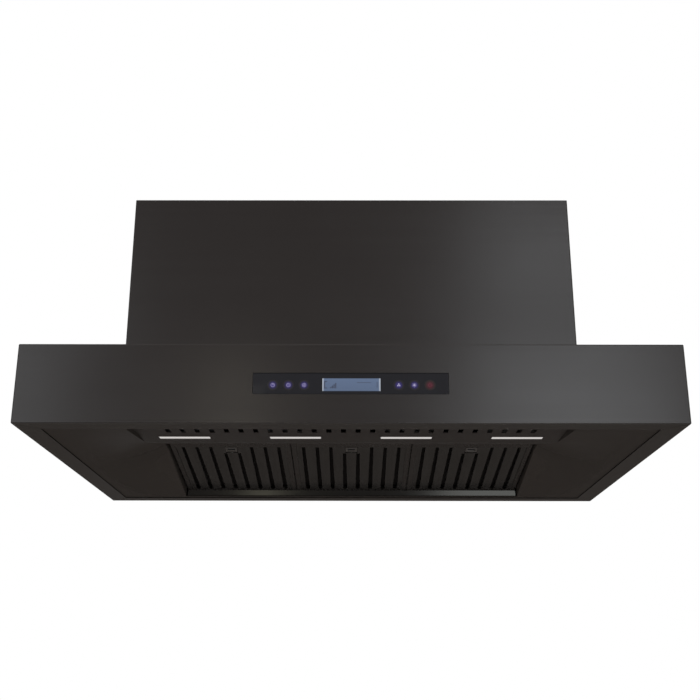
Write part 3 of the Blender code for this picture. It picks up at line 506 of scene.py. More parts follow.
def make_canopy(steel, rim_steel):
    low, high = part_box("canopy_shell")
    glass_low, glass_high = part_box("control_glass")
    window_gap = 0.0004
    outlet_x, outlet_y = 0.270, 0.108
    skin = folded_box("canopy_skin", low, high, (
        ((0, 0, -1), rectangle(2, low.z, (low.x + RIM_FLANGE, low.y + RIM_FLANGE),
                               (high.x - RIM_FLANGE, high.y - RIM_FLANGE))),
        ((0, 0, 1), rectangle(2, high.z, (-outlet_x, -outlet_y), (outlet_x, outlet_y))),
        ((0, -1, 0), rectangle(1, low.y, (glass_low.x - window_gap, glass_low.z - window_gap),
                               (glass_high.x + window_gap, glass_high.z + window_gap))),
    ))
    bm = bmesh.new()
    groove_start, half_width, groove_depth = 0.0022, 0.0002, 0.0005
    diagonal = (RIM_FLANGE + 0.004) * math.sqrt(2)
    for x in (low.x, high.x):
        for y in (low.y, high.y):
            inward = Vector((-math.copysign(1, x), -math.copysign(1, y), 0)).normalized()
            turn = inward.to_track_quat("X", "Z").to_matrix().to_4x4()
            verts = add_box(bm, (groove_start, -half_width, -0.001), (diagonal, half_width, groove_depth))
            bmesh.ops.transform(bm, matrix=Matrix.Translation((x, y, low.z)) @ turn, verts=verts)
    cut(skin, bm)
    weigh_normals(skin)
    finish_piece(skin, steel, "hood", "black_steel", "canopy_shell")
    skin.data.materials.append(rim_steel)
    for face in skin.data.polygons:
        if face.normal.z < -0.9 and face.center.z < low.z + 0.0002:
            face.material_index = 1


def make_cover(steel):
    low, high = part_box("duct_cover")
    foot, half_seam, seam_depth = 0.012, 0.00025, 0.0006
    opening = rectangle(2, low.z, (low.x + foot, low.y + foot), (high.x - foot, high.y - foot))
    skin = folded_box("cover_skin", low, high, (((0, 0, -1), opening),), open_top=True)
    cut_boxes(skin, ((-half_seam, high.y - seam_depth, low.z + 0.003),
                     (half_seam, high.y + 0.001, high.z + 0.01)))
    weigh_normals(skin)
    finish_piece(skin, steel, "hood", "black_steel", "duct_cover")


def make_pan(steel):
    """Flat margin inside the rim, sides pressed up to the recess, and walls turned up round it."""
    low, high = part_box("underside_pan")
    panel_low, panel_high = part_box("light_panel")
    gutter_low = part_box("grease_gutter")[0]
    half, crease = panel_high.x + 0.0008, 0.418      # from the middle to the recess and to the crease
    front, rear = panel_low.y - 0.0006, gutter_low.y
    panel_end, rail_y, rail_z = -0.140, 0.0365, 0.0508
    stations = ((front, low.z), (panel_end, panel_low.z), (rail_y, rail_z), (rear, low.z))
    end_run, least_reach, added_reach = 0.06, 0.025, 0.10    # how far the pressing evens out the edge
    samples = range(-4, 5)
    touching = 0.0001

    def edge_height(y):
        for (y0, z0), (y1, z1) in zip(stations, stations[1:]):
            if y0 <= y <= y1:
                return z0 + (z1 - z0) * (y - y0) / (y1 - y0)
        return low.z

    def pressed(x, y):
        share = min(1.0, max(0.0, (crease - abs(x)) / (crease - half)))
        ends = min(1.0, (y - front) / end_run, (rear - y) / end_run)
        reach = ends * (least_reach + added_reach * (1 - share))
        level = sum(edge_height(y + reach * step / samples[-1]) for step in samples) / len(samples)
        return low.z + share * (level - low.z)

    side_steps, station_steps = 6, (4, 7, 9)
    side = [half + (crease - half) * step / side_steps for step in range(side_steps + 1)]
    columns = [low.x] + [-x for x in reversed(side)] + side + [high.x]
    rows = [low.y]
    for (y0, _), (y1, _), steps in zip(stations, stations[1:], station_steps):
        rows += [y0 + (y1 - y0) * step / steps for step in range(steps)]
    rows += [rear, high.y]
    bm = bmesh.new()
    grid = []
    for x in columns:
        inside = low.x < x < high.x
        grid.append([bm.verts.new((x, y, pressed(x, y) if inside and low.y < y < high.y else low.z))
                     for y in rows])
    left = len(side)
    last = len(rows) - 1
    for i, (line, following) in enumerate(zip(grid, grid[1:])):
        for j in range(last):
            if i != left or j in (0, last - 1):
                bm.faces.new((line[j], line[j + 1], following[j + 1], following[j]))
    walls = [edge for edge in bm.edges if len(edge.link_faces) == 1
             and all(abs(vert.co.x) < half + touching for vert in edge.verts)
             and all(low.y < vert.co.y < high.y for vert in edge.verts)
             and any(vert.co.y < rear - touching for vert in edge.verts)]
    for vert in new_verts(bmesh.ops.extrude_edge_only(bm, edges=walls)):
        vert.co.z = high.z
    bmesh.ops.recalc_face_normals(bm, faces=bm.faces)
    if max(bm.faces, key=lambda face: abs(face.normal.z) * face.calc_area()).normal.z > 0:
        bmesh.ops.reverse_faces(bm, faces=bm.faces)
    skin = sheet_from("pan_skin", bm, SHEET)
    weigh_normals(skin)
    finish_piece(skin, steel, "hood", "dark_steel", "underside_pan")


# ---------------------------------------------------------------- filters
def filter_place(number):
    """Matrix from a filter's own frame (-Y up the slope to the front, +Z its upper side) to the row."""
    hinge = JOINTS[f"filter_hinge_{number}"]
    slide = Vector(JOINTS[f"latch_slide_{number}"]["axis"])
    slope = math.atan2(-slide.z, slide.y)
    return Matrix.Translation(hinge["pos_m"]) @ Matrix.Rotation(-slope, 4, "X")


UNDER, OVER = 0.0004, 0.0124   # a filter's lower and upper face
FILTER_HALF = 0.1021
FILTER_FRONT, FILTER_REAR = -0.2335, 0.006
SIDE_LIP, FRONT_LIP, REAR_LIP = 0.0085, 0.0195, 0.0095
FRAME_WALL = 0.001
BAFFLE_COUNT, BAFFLE_PITCH, BAFFLE_SLOT = 8, 0.02325, 0.005
FRAME_BEND, BAFFLE_BEND = 0.0016, 0.0013
LATCH_FRONT, LATCH_REAR = FILTER_FRONT + 0.0225, FILTER_FRONT + 0.0425
LATCH_WAY = 0.0105             # half width of the window that the latch slides in
SLIT_LOW = (-0.0062, LATCH_FRONT + 0.0046, UNDER)
SLIT_HIGH = (0.0062, LATCH_FRONT + 0.0128, UNDER + 0.0028)


def rounded_path(points, radius):
    """An open path through 2D points whose inner corners are arcs."""
    steps = 3
    path = [Vector(points[0])]
    for before, corner, after in zip(points, points[1:], points[2:]):
        corner = Vector(corner)
        inward = (Vector(before) - corner).normalized()
        onward = (Vector(after) - corner).normalized()
        for step in range(steps + 1):
            angle = math.pi / 2 * step / steps
            path.append(corner + inward * radius * (1 - math.sin(angle))
                        + onward * radius * (1 - math.cos(angle)))
    path.append(Vector(points[-1]))
    return path


def add_channel(bm, lip, half_length, ratios, place):
    """One side of the filter frame: a C channel with mitred ends, placed by a matrix.

    In its own frame the channel runs along X, its web at y = 0 and its lips towards +Y.
    """
    seam = 0.00015
    outline = rounded_path([(lip, UNDER), (0.0, UNDER), (0.0, OVER), (lip, OVER)], FRAME_BEND)
    rows = []
    for inward, height in outline:
        ends = (-half_length + inward * ratios[0] + seam, half_length - inward * ratios[1] - seam)
        rows.append([bm.verts.new(place @ Vector((end, inward, height))) for end in ends])
    for lower, upper in zip(rows, rows[1:]):
        bm.faces.new((lower[0], lower[1], upper[1], upper[0]))


def filter_frame_mesh():
    """Four C channels, mitred at the corners, with the ways for the latch cut in the front one."""
    depth = FILTER_REAR - FILTER_FRONT
    middle = (FILTER_REAR + FILTER_FRONT) / 2
    bm = bmesh.new()
    front = Matrix.Translation((0, FILTER_FRONT, 0))
    rear = Matrix.Translation((0, FILTER_REAR, 0)) @ Matrix.Rotation(math.pi, 4, "Z")
    add_channel(bm, FRONT_LIP, FILTER_HALF, (SIDE_LIP / FRONT_LIP,) * 2, front)
    add_channel(bm, REAR_LIP, FILTER_HALF, (SIDE_LIP / REAR_LIP,) * 2, rear)
    for sign in (-1, 1):
        turn = Matrix.Rotation(sign * math.pi / 2, 4, "Z")
        side = Matrix.Translation((sign * FILTER_HALF, middle, 0)) @ turn
        ratios = (FRONT_LIP / SIDE_LIP, REAR_LIP / SIDE_LIP)
        add_channel(bm, SIDE_LIP, depth / 2, ratios if sign > 0 else ratios[::-1], side)
    bmesh.ops.recalc_face_normals(bm, faces=bm.faces)
    lip_weight = 20          # so that a lip's face is told by its height and not by its place
    for face in bm.faces:
        centre = face.calc_center_median()
        outward = Vector((centre.x / FILTER_HALF, (centre.y - middle) / (depth / 2), 0))
        outward.z = (centre.z - (UNDER + OVER) / 2) / (OVER - UNDER) * lip_weight
        if face.normal.dot(outward) < 0:
            face.normal_flip()
    holder = sheet_from("filter_frame", bm, FRAME_WALL)
    tongue_way = 0.0066
    cut_boxes(holder, ((-tongue_way, FILTER_FRONT - 0.01, 0.0029), (tongue_way, FILTER_FRONT + 0.01, 0.0053)),
              ((-LATCH_WAY, FILTER_FRONT + 0.0180, UNDER - 0.01),
               (LATCH_WAY, FILTER_FRONT + 0.03, UNDER + 0.0025)))
    return take_mesh(holder)


def slotted_bm(half_width, y_low, y_high, level, slots, lip, flare=0.0):
    """A sheet with slots whose long edges are folded by lip and flare to the rear, as an open surface."""
    touching = 0.00001
    bm = bmesh.new()
    bmesh.ops.create_grid(bm, x_segments=1, y_segments=1, size=1.0)
    for vert in bm.verts:
        vert.co = (math.copysign(half_width, vert.co.x), y_low if vert.co.y < 0 else y_high, level)
    for x_low, x_high, slot_low, slot_high in slots:
        for point, normal in (((x_low, 0, 0), (1, 0, 0)), ((x_high, 0, 0), (1, 0, 0)),
                              ((0, slot_low, 0), (0, 1, 0)), ((0, slot_high, 0), (0, 1, 0))):
            bmesh.ops.bisect_plane(bm, geom=bm.verts[:] + bm.edges[:] + bm.faces[:], dist=0.000001,
                                   plane_co=point, plane_no=normal)

    def inside(point, margin):
        return any(x_low - margin < point.x < x_high + margin and low < point.y < high
                   for x_low, x_high, low, high in slots)

    holes = [face for face in bm.faces if inside(face.calc_center_median(), 0.0)]
    bmesh.ops.delete(bm, geom=holes, context="FACES")
    long_edges = [edge for edge in bm.edges if edge.is_boundary
                  and abs(edge.verts[0].co.x - edge.verts[1].co.x) < touching
                  and inside((edge.verts[0].co + edge.verts[1].co) / 2, touching)]
    raised = new_verts(bmesh.ops.extrude_edge_only(bm, edges=long_edges))
    bmesh.ops.translate(bm, verts=raised, vec=(0, 0, lip))
    bmesh.ops.recalc_face_normals(bm, faces=bm.faces)
    flat = max(bm.faces, key=lambda face: face.calc_area())
    if flat.normal.z * lip > 0:
        bmesh.ops.reverse_faces(bm, faces=bm.faces)
    for vert in bm.verts:
        for x_low, x_high, slot_low, slot_high in slots:
            share = min(1.0, max(0.0, (vert.co.y - slot_low) / (slot_high - slot_low)))
            if abs(vert.co.x - x_low) < touching:
                vert.co.x -= flare * share
                break
            if abs(vert.co.x - x_high) < touching:
                vert.co.x += flare * share
                break
    bend_edges(bm, BAFFLE_BEND)
    return bm


def baffle_meshes():
    """The lower and upper rows of rolled baffles."""
    fit = FRAME_WALL + 0.0003                # from the frame's outer faces to the rows inside it
    half = FILTER_HALF - fit
    front, rear = FILTER_FRONT + fit, FILTER_REAR - fit
    lower, upper = UNDER + fit, OVER - fit
    window_front, window_rear = FILTER_FRONT + FRONT_LIP, FILTER_REAR - REAR_LIP
    behind_latch = FILTER_FRONT + 0.0505
    half_gap = 0.0045
    slots = []
    for index in range(BAFFLE_COUNT):
        x = (index - (BAFFLE_COUNT - 1) / 2) * BAFFLE_PITCH
        start = behind_latch if abs(x) < BAFFLE_PITCH else window_front + 0.0005
        slots.append((x - BAFFLE_SLOT / 2, x + BAFFLE_SLOT / 2, start, window_rear - 0.0005))
    gaps = []
    for index in range(BAFFLE_COUNT - 1):
        x = (index - (BAFFLE_COUNT - 2) / 2) * BAFFLE_PITCH
        gaps.append((x - half_gap, x + half_gap, window_front + 0.004, window_rear - 0.002))
    lower_row = sheet_from("lower_row", slotted_bm(half, front, rear, lower, slots, 0.0045, 0.0011), THIN_SHEET)
    cut_boxes(lower_row, ((-LATCH_WAY, FILTER_FRONT + 0.0210, UNDER - 0.01),
                          (LATCH_WAY, FILTER_FRONT + 0.0480, lower + 0.0012)))
    upper_row = sheet_from("upper_row", slotted_bm(half, front, rear, upper, gaps, -0.0055), THIN_SHEET)
    return take_mesh(lower_row), take_mesh(upper_row)


def latch_mesh():
    """Slide latch: a thumb plate with a dished, slit finger pull, two ribs and a chamfered tongue."""
    front, rear = LATCH_FRONT, LATCH_REAR
    bm = bmesh.new()
    rounded_box(bm, (-0.0100, front, UNDER + 0.0006), (0.0100, rear, UNDER + 0.0032), 0.0006)
    holder = link("latch_source", mesh_from("filter_latch", bm))
    bm = bmesh.new()
    rounded_box(bm, (-0.0075, front + 0.0035, UNDER - 0.002), (0.0075, rear - 0.0055, UNDER + 0.0014), 0.0008)
    cut(holder, bm)
    cut_boxes(holder, (SLIT_LOW, SLIT_HIGH))
    bm = bmesh.new()
    bm.from_mesh(take_mesh(holder))
    for offset in (0.0010, 0.0030):
        rounded_box(bm, (-0.0070, rear - 0.0045 + offset, UNDER + 0.0001),
                    (0.0070, rear - 0.0037 + offset, UNDER + 0.0010), 0.0002, 1)
    tongue = add_box(bm, (-0.0060, FILTER_FRONT - 0.004, UNDER + 0.0029),
                     (0.0060, rear - 0.004, UNDER + 0.0044))
    for vert in tongue:
        if vert.co.y < FILTER_FRONT and vert.co.z < UNDER + 0.0035:
            vert.co.z += 0.0007
    rounded_box(bm, (-0.0030, rear - 0.0012, UNDER + 0.0029), (0.0030, rear, 0.0053), 0.0003, 1)
    return mesh_from("filter_latch", bm)


def make_filters(frame_steel, blade_steel, duct_shade_steel, latch_steel, shadow_black):
    """Three of each piece; the faces of a latch's finger slit are painted black, a painted shadow for the dark
    inside the slit.
    """
    frame_mesh = filter_frame_mesh()
    lower_mesh, upper_mesh = baffle_meshes()
    latch = latch_mesh()
    for number in (1, 2, 3):
        place = filter_place(number)
        for name, mesh, steel, body, slot, node_name in (
                ("filter_rim", frame_mesh, frame_steel, "filter", "filter_steel", "filter_frame"),
                ("filter_blades", lower_mesh, blade_steel, "filter", "filter_steel", "lower_baffles"),
                # The upper baffles take the darker steel as painted shade.
                ("filter_ducts", upper_mesh, duct_shade_steel, "filter", "filter_steel", "upper_baffles"),
                ("latch_slide", latch, latch_steel, "latch", "dark_steel", "filter_latch")):
            made = link(f"{name}_{number}", mesh)
            made.matrix_world = place
            weigh_normals(made)
            finish_piece(made, steel, f"{body}_{number}", slot, f"{node_name}_{number}")
    # Painted shade: the faces inside each finger slit take the black material in place of the shadow there.
    latch.materials.append(shadow_black)
    margin, dish_level = 0.0001, UNDER + 0.0015
    for face in latch.polygons:
        within = all(low - margin < value < high + margin
                     for low, value, high in zip(SLIT_LOW, face.center, SLIT_HIGH))
        if within and face.center.z > dish_level:
            face.material_index = 1


SPRING_FRONT, SPRING_REAR = FILTER_FRONT + 0.0427, FILTER_FRONT + 0.0536
SPRING_LEVEL, SPRING_RADIUS, SPRING_WIRE = 0.0042, 0.0011, 0.00022


def spring_mesh():
    """Return spring: a coil of round wire along Y with closed end turns."""
    turns, turn_steps, sides = 9, 14, 8
    pitch_share = [0.0, 0.02, 0.14, 0.28, 0.42, 0.58, 0.72, 0.86, 0.98, 1.0]
    run = SPRING_REAR - SPRING_FRONT - 2 * SPRING_WIRE
    along = Vector((0, 1, 0))
    bm = bmesh.new()
    rings = []
    for step in range(turns * turn_steps + 1):
        turn, part = divmod(step / turn_steps, 1.0)
        start = pitch_share[int(turn)]
        share = start + part * (pitch_share[min(int(turn) + 1, turns)] - start)
        angle = 2 * math.pi * step / turn_steps
        outward = Vector((math.cos(angle), 0, math.sin(angle)))
        centre = Vector((0, SPRING_FRONT + SPRING_WIRE + share * run, SPRING_LEVEL)) + outward * SPRING_RADIUS
        ring = []
        for side in (2 * math.pi * index / sides for index in range(sides)):
            spoke = outward * math.cos(side) + along * math.sin(side)
            ring.append(bm.verts.new(centre + SPRING_WIRE * spoke))
        rings.append(ring)
    join_rings(bm, rings)
    bm.faces.new(rings[0][::-1])
    bm.faces.new(rings[-1])
    return mesh_from("latch_spring", bm)


def make_springs(steel):
    """A return spring for each latch, riding on its filter."""
    coil = spring_mesh()
    for number in (1, 2, 3):
        place = filter_place(number)
        made = link(f"return_spring_{number}", coil)
        made.matrix_world = place
        finish_piece(made, steel, f"filter_{number}", "bright_steel", f"latch_spring_{number}")
        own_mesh(made)


# ---------------------------------------------------------------- lamps
def make_lamps(glow, trim):
    """Each lamp is a crowned diffuser with round ends in a thin pressed bezel."""
    covered = Vector((0, 0.0062, 0))         # the part of a lens that the panel's fold hides
    lip, reach = 0.0001, 0.0016              # how far the bezel's inner and outer edges lie outside the lens
    panel_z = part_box("light_panel")[0].z
    for number in (1, 2, 3, 4):
        low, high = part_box(f"led_lens_{number}")
        high = high - covered
        bm = bmesh.new()
        rounded_box(bm, low, high, 0.0009, 3)
        weigh_normals(hood_piece(f"lamp_diffuser_{number}", bm, glow, "lens", f"led_lens_{number}"))
        bm = bmesh.new()
        loops = []
        for grow, level in ((lip, panel_z + 0.0002), (lip, panel_z - 0.0007), (0.0006, panel_z - 0.0009),
                            (reach, panel_z - 0.0002), (reach, panel_z - 0.00002)):
            rear = high.y + grow + (covered.y if grow == reach else 0.0)
            loops.append([bm.verts.new(point) for point in
                          ((low.x - grow, low.y - grow, level), (high.x + grow, low.y - grow, level),
                           (high.x + grow, rear, level), (low.x - grow, rear, level))])
        join_rings(bm, loops + loops[:1])
        hood_piece(f"lamp_bezel_{number}", bm, trim, "dark_steel")


# ---------------------------------------------------------------- control panel
PANEL_SHIFT = 0.001        # the display and keys sit a little right of the glass's middle
LCD_LEVEL, LCD_HALF_HEIGHT = 0.0545, 0.0089
BACKLIGHT_HALF_HEIGHT = 0.00925


def flat_symbol(bm, outline, y_front, thickness):
    """A flat closed outline in XZ, given thickness along +Y."""
    face = bm.faces.new([bm.verts.new((x, y_front, z)) for x, z in outline])
    lifted = new_verts(bmesh.ops.extrude_face_region(bm, geom=[face]))
    bmesh.ops.translate(bm, verts=lifted, vec=(0, thickness, 0))


def arc_band(radius, width, start, end):
    """Outline of a band that follows an arc, angles in degrees."""
    steps = 20
    angles = [math.radians(start + (end - start) * step / steps) for step in range(steps + 1)]
    outer = [((radius + width / 2) * math.cos(a), (radius + width / 2) * math.sin(a)) for a in angles]
    inner = [((radius - width / 2) * math.cos(a), (radius - width / 2) * math.sin(a)) for a in angles]
    return outer + inner[::-1]


def bar(x, z, half_x, half_z, turn=0.0):
    """Outline of a small bar, turned about the symbol's middle."""
    cos, sin = math.cos(math.radians(turn)), math.sin(math.radians(turn))
    corners = ((x - half_x, z - half_z), (x + half_x, z - half_z),
               (x + half_x, z + half_z), (x - half_x, z + half_z))
    return [(a * cos - b * sin, a * sin + b * cos) for a, b in corners]


def key_symbol(kind):
    """Generic touch-key symbols, about 6 mm across."""
    ring, line = 0.0025, 0.00045
    full = [arc_band(ring, line, 0, 180), arc_band(ring, line, 180, 360)]
    if kind == "clock":
        return full + [bar(0.0, 0.0007, 0.0003, 0.0010), bar(0.0006, 0.0, 0.0009, 0.0003)]
    if kind == "less":
        return full + [bar(0.0, 0.0, 0.0012, 0.0003)]
    if kind == "more":
        return full + [bar(0.0, 0.0, 0.0012, 0.0003), bar(0.0, 0.0008, 0.0003, 0.0005),
                       bar(0.0, -0.0008, 0.0003, 0.0005)]
    if kind == "fan":
        offset, blade = 0.0014, 0.0010
        rim = [math.radians(angle) for angle in range(0, 360, 30)]
        centres = [(offset * math.cos(math.radians(turn)), offset * math.sin(math.radians(turn)))
                   for turn in (90, 210, 330)]
        return [[(x + blade * math.cos(a), z + blade * math.sin(a)) for a in rim] for x, z in centres]
    if kind == "lamp":
        rays = [bar(0.0026, 0.0, 0.0005, 0.00022, turn) for turn in range(0, 360, 45)]
        return rays + [arc_band(0.0009, 0.0012, 0, 180), arc_band(0.0009, 0.0012, 180, 360)]
    return [arc_band(ring, line, 120, 420), bar(0.0, 0.0020, 0.0003, 0.0013)]


def lcd_half_width():
    """Half the lit width of the display: its module without the frame."""
    low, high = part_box("lcd_module")
    return (high.x - low.x) / 2 - 0.004


def make_controls(glass, screen, ink, cool, red, cool_halo, red_halo):
    low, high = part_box("control_glass")
    bm = bmesh.new()
    rounded_box(bm, low, high, 0.0004)
    weigh_normals(hood_piece("touch_glass", bm, glass, "black_glass", "control_glass"))

    half_x, centre_z, half_z = lcd_half_width(), LCD_LEVEL, LCD_HALF_HEIGHT
    film_front = low.y - 0.00008
    bm = bmesh.new()
    rounded_box(bm, (-half_x, film_front, centre_z - half_z),
                (half_x, low.y + 0.0002, centre_z + half_z), 0.00003, 1)
    hood_piece("display_film", bm, screen, "lcd", at=(PANEL_SHIFT, 0, 0))

    bm = bmesh.new()
    left = -half_x + 0.0030
    print_depth = 0.00004
    shapes = [bar(left, centre_z, 0.0006, 0.0052), bar(left + 0.0018, centre_z + 0.0046, 0.0014, 0.0006),
              bar(left + 0.0018, centre_z - 0.0046, 0.0014, 0.0006),
              bar(0.017, centre_z + 0.0030, 0.0095, 0.0003), bar(half_x - 0.0045, centre_z, 0.0004, 0.0040)]
    for level in range(4):
        shapes.append(bar(left + 0.0085 + level * 0.0022, centre_z - 0.0040 + level * 0.0009, 0.0007,
                          0.0010 + level * 0.0009))
    for outline in shapes:
        flat_symbol(bm, outline, film_front - print_depth, print_depth)
    hood_piece("display_marks", bm, ink, "lcd", at=(PANEL_SHIFT, 0, 0))

    pitch, inner, key_z = 0.02125, 0.0643, 0.0540
    disc = 0.0076
    upright = Matrix.Rotation(math.pi / 2, 4, "X")
    for kind, x in (("clock", -inner - 2 * pitch), ("less", -inner - pitch), ("more", -inner),
                    ("fan", inner), ("lamp", inner + pitch), ("power", inner + 2 * pitch)):
        light, glow_round = (red, red_halo) if kind == "power" else (cool, cool_halo)
        bm = bmesh.new()
        for outline in key_symbol(kind):
            flat_symbol(bm, outline, low.y - 0.00012, 0.00006)
        hood_piece(f"key_{kind}", bm, light, "lcd", at=(x + PANEL_SHIFT, 0, key_z))
        bm = bmesh.new()
        bmesh.ops.create_cone(bm, cap_ends=True, segments=48, radius1=disc, radius2=disc - 0.00003,
                              depth=0.00004, matrix=upright)
        hood_piece(f"key_glow_{kind}", bm, glow_round, "lcd", at=(x + PANEL_SHIFT, low.y - 0.00003, key_z))


# ---------------------------------------------------------------- fasteners
def screw_mesh(name, radius, height):
    """Pan-head screw with a cross recess; its seat is at z = 0."""
    sides = 24
    angles = [2 * math.pi * side / sides for side in range(sides)]
    half_slot, never_zero = radius * 0.13, 1e-9
    rings = [[(radius, 0.0)] * sides, [(radius, height * 0.35)] * sides,
             [(radius * 0.93, height * 0.72)] * sides, [(radius * 0.74, height * 0.96)] * sides]
    for arm, level in ((radius * 0.62, height), (radius * 0.50, height * 0.45)):
        ring = []
        for angle in angles:
            cos, sin = (abs(f(angle)) + never_zero for f in (math.cos, math.sin))
            reach = max(min(half_slot / sin, arm / cos), min(half_slot / cos, arm / sin))
            ring.append((reach, level))
        rings.append(ring)
    bm = bmesh.new()
    loops = [[bm.verts.new((reach * math.cos(angle), reach * math.sin(angle), level))
              for angle, (reach, level) in zip(angles, ring)] for ring in rings]
    join_rings(bm, loops)
    bm.faces.new(loops[0][::-1])
    bm.faces.new(loops[-1])
    return mesh_from(name, bm)


def bolt_mesh(name, radius, height):
    """Hex bolt head on a round washer; its seat is at z = 0."""
    bm = bmesh.new()
    washer, chamfer = height * 0.28, height * 0.92
    for sides, low_r, high_r, low, high in ((28, radius * 1.55, radius * 1.50, 0.0, washer),
                                            (6, radius, radius, washer, chamfer),
                                            (6, radius, radius * 0.86, chamfer, height)):
        bmesh.ops.create_cone(bm, cap_ends=True, segments=sides, radius1=low_r, radius2=high_r,
                              depth=high - low, matrix=Matrix.Translation((0, 0, (low + high) / 2)))
    return mesh_from(name, bm)


def fasten(prefix, mesh, metal, slot, places):
    """One fastener at each (point, outward direction)."""
    for number, (point, outward) in enumerate(places, 1):
        made = link(f"{prefix}_{number}", mesh)
        turn = Vector(outward).to_track_quat("Z", "Y").to_matrix().to_4x4()
        made.matrix_world = Matrix.Translation(point) @ turn
        finish_piece(made, metal, "hood", slot)


def make_fasteners(black, zinc):
    cover_low, cover_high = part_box("duct_cover")
    small = screw_mesh("small_screw", 0.0030, 0.0016)
    sunk = screw_mesh("cover_screw", 0.0028, 0.0012)
    from_seam, end_inset, sink = 0.012, 0.030, 0.0011
    fasten("cover_screw", sunk, black, "black_steel",
           [((x, cover_high.y - sink, z), (0, 1, 0)) for x in (-from_seam, from_seam)
            for z in (cover_low.z + end_inset, (cover_low.z + cover_high.z) / 2, cover_high.z - end_inset)])
    low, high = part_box("junction_cover")
    inset = 0.008
    fasten("junction_screw", small, zinc, "bright_steel",
           [((x, y, high.z), (0, 0, 1)) for x in (low.x + inset, high.x - inset)
            for y in (low.y + inset, high.y - inset)])
    low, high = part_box("blower_box")
    column, inset = 0.180, 0.012
    fasten("blower_screw", small, zinc, "bright_steel",
           [((x, y, high.z), (0, 0, 1)) for x in (-column, column) for y in (low.y + inset, high.y - inset)])
    bolt = bolt_mesh("post_bolt", 0.0050, 0.0048)
    places = []
    wall, foot, head = 0.002, 0.035, 0.030
    for number in (1, 2, 3, 4):
        low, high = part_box(f"hanging_post_{number}")
        face_y, inward_y = (low.y + wall, 1) if low.y < 0 else (high.y - wall, -1)
        for z in (low.z + foot, high.z - head):
            places.append((((low.x + high.x) / 2, face_y, z), (0, inward_y, 0)))
    fasten("post_bolt", bolt, zinc, "bright_steel", places)


# ---------------------------------------------------------------- carried-over nodes
def soften(name, width):
    """Round the sharp edges of a node that is shown as it is."""
    edges = NODES[name].modifiers.new("edges", "BEVEL")
    edges.width = width
    edges.segments = 2
    edges.limit_method = "ANGLE"
    edges.angle_limit = math.radians(40)
    edges.use_clamp_overlap = True
    weigh_normals(NODES[name])


def finish_nodes(finishes):
    """Each node's material: the first prefix that its name starts with."""
    for name, made in NODES.items():
        coat(made, next(finish for prefix, finish in finishes if name.startswith(prefix)))


# ---------------------------------------------------------------- materials and assembly
bpy.context.scene.view_settings.view_transform = "Standard"
make_camera()
make_world()
make_lights()
make_floor()

# Grain scales on walls and on level faces: along X, along Y, and across the walls of the filter frames.
ALONG_X = ((22.0, 22.0, 2200.0), (22.0, 2200.0, 22.0))
ALONG_Y = ((2200.0, 22.0, 2200.0), (2200.0, 22.0, 2200.0))
TURNED = (ALONG_X[0], ALONG_Y[1])

black_steel = brushed_steel("black_steel", (0.046, 0.0435, 0.0425), 0.23, ALONG_X, 0.29, 0.05, 0.02)
pan_steel = brushed_steel("pan_steel", (0.055, 0.0495, 0.0450), 0.34, ALONG_X, 0.25, 0.12, 0.05, 0.30)
rim_steel = brushed_steel("rim_steel", (0.071, 0.0660, 0.0615), 0.34, ALONG_X, 0.22, 0.12, 0.05, 0.34)
panel_steel = brushed_steel("panel_steel", (0.066, 0.0605, 0.0565), 0.30, ALONG_X, 0.28, 0.12, 0.05, 0.50)
frame_steel = brushed_steel("frame_steel", (0.060, 0.0560, 0.0530), 0.27, TURNED, 0.34, 0.01, 0.04, 0.60)
blade_steel = brushed_steel("blade_steel", (0.060, 0.0570, 0.0540), 0.24, ALONG_Y, 0.36, 0.2, 0.2, 0.62)
# A darker copy of blade_steel for the upper baffles: painted shade for the shadow inside the filter.
duct_shade_steel = brushed_steel("duct_shade_steel", (0.030, 0.0285, 0.0270), 0.34, ALONG_Y, 0.20, 0.1, 0.1, 0.62)
latch_steel = brushed_steel("latch_steel", (0.085, 0.0790, 0.0740), 0.28, ALONG_X, 0.5)
gutter_steel = brushed_steel("gutter_steel", (0.0190, 0.0186, 0.0177), 0.13, ALONG_X, 0.30, 0.02, 0.05)
bright_steel = brushed_steel("bright_steel", (0.42, 0.41, 0.40), 0.24, ALONG_X, 0.9)
spring_steel = brushed_steel("spring_steel", (0.50, 0.50, 0.49), 0.22, ALONG_X, 0.9)
motor_paint = brushed_steel("motor_paint", (0.09, 0.09, 0.10), 0.38, ALONG_X, 0.6)
galvanised = galvanised_steel("galvanised", (0.40, 0.41, 0.42), 0.42)
glass_black = black_glass()
plastic_black = moulded_plastic("plastic_black", (0.020, 0.020, 0.020), 0.48)
plastic_white = moulded_plastic("plastic_white", (0.62, 0.62, 0.60), 0.45)
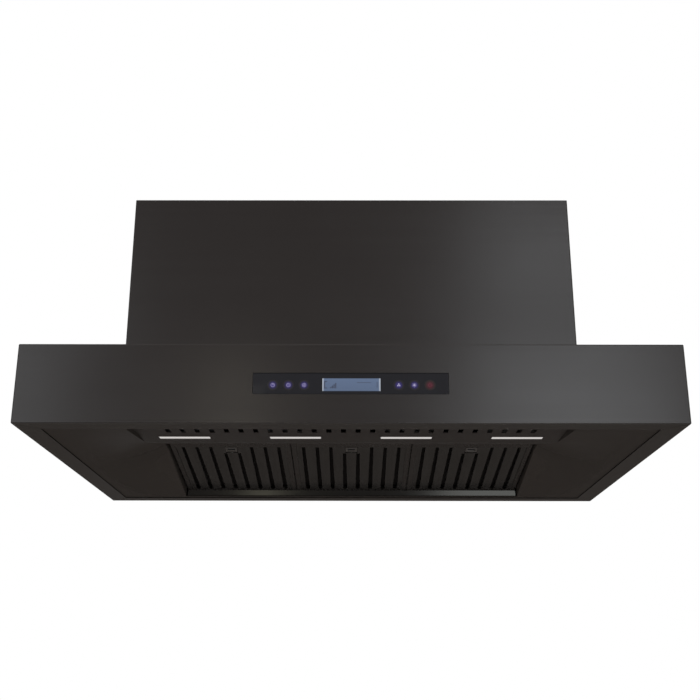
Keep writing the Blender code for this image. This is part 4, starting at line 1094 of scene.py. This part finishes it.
cable_jacket = moulded_plastic("cable_jacket", (0.028, 0.028, 0.028), 0.55, 900.0)
board = circuit_board()
lamp_glow = glowing("lamp_glow", (1.0, 0.975, 0.945), 0.455, 0.05)
lcd_screen = lit_lcd(lcd_half_width(), LCD_LEVEL, BACKLIGHT_HALF_HEIGHT)
ink = moulded_plastic("display_ink", (0.030, 0.040, 0.085), 0.4)
cool_light = glowing("cool_light", (0.62, 0.57, 0.84), 0.50)
red_light = glowing("red_light", (0.26, 0.002, 0.040), 0.16)
cool_halo = halo("cool_halo", (0.024, 0.015, 0.170), 0.0074)
red_halo = halo("red_halo", (0.064, 0.0, 0.010), 0.0084)

finish_nodes((
    ("canopy_shell", black_steel), ("duct_cover", black_steel), ("underside_pan", pan_steel),
    ("light_panel", panel_steel), ("filter_rail", panel_steel), ("led_lens", lamp_glow),
    ("led_driver", plastic_white), ("grease_gutter", gutter_steel), ("filter_frame", frame_steel),
    ("lower_baffles", blade_steel), ("upper_baffles", blade_steel), ("filter_latch", latch_steel),
    ("latch_spring", spring_steel), ("control_glass", glass_black), ("lcd_module", plastic_black),
    ("touch_board", board), ("control_housing", plastic_black),
    ("control_lead", cable_jacket), ("lamp_lead", cable_jacket), ("cable_gland", plastic_black),
    ("motor_shaft", bright_steel), ("motor_bracket", galvanised), ("motor_capacitor", plastic_white),
    ("motor", motor_paint), ("damper_pin", bright_steel), ("", galvanised),
))
for softened, width in (("light_panel", 0.0002), ("filter_rail", 0.0003), ("grease_gutter", 0.0004),
                        ("ceiling_frame", 0.0003), ("junction_box", 0.0004), ("junction_cover", 0.0004),
                        ("control_housing", 0.0005), ("led_driver", 0.0008)):
    soften(softened, width)

make_canopy(black_steel, rim_steel)
make_cover(black_steel)
make_pan(pan_steel)
# plastic_black also paints the shadow in the latches' finger slits.
make_filters(frame_steel, blade_steel, duct_shade_steel, latch_steel, plastic_black)
make_springs(spring_steel)
make_lamps(lamp_glow, panel_steel)
make_controls(glass_black, lcd_screen, ink, cool_light, red_light, cool_halo, red_halo)
make_fasteners(black_steel, bright_steel)
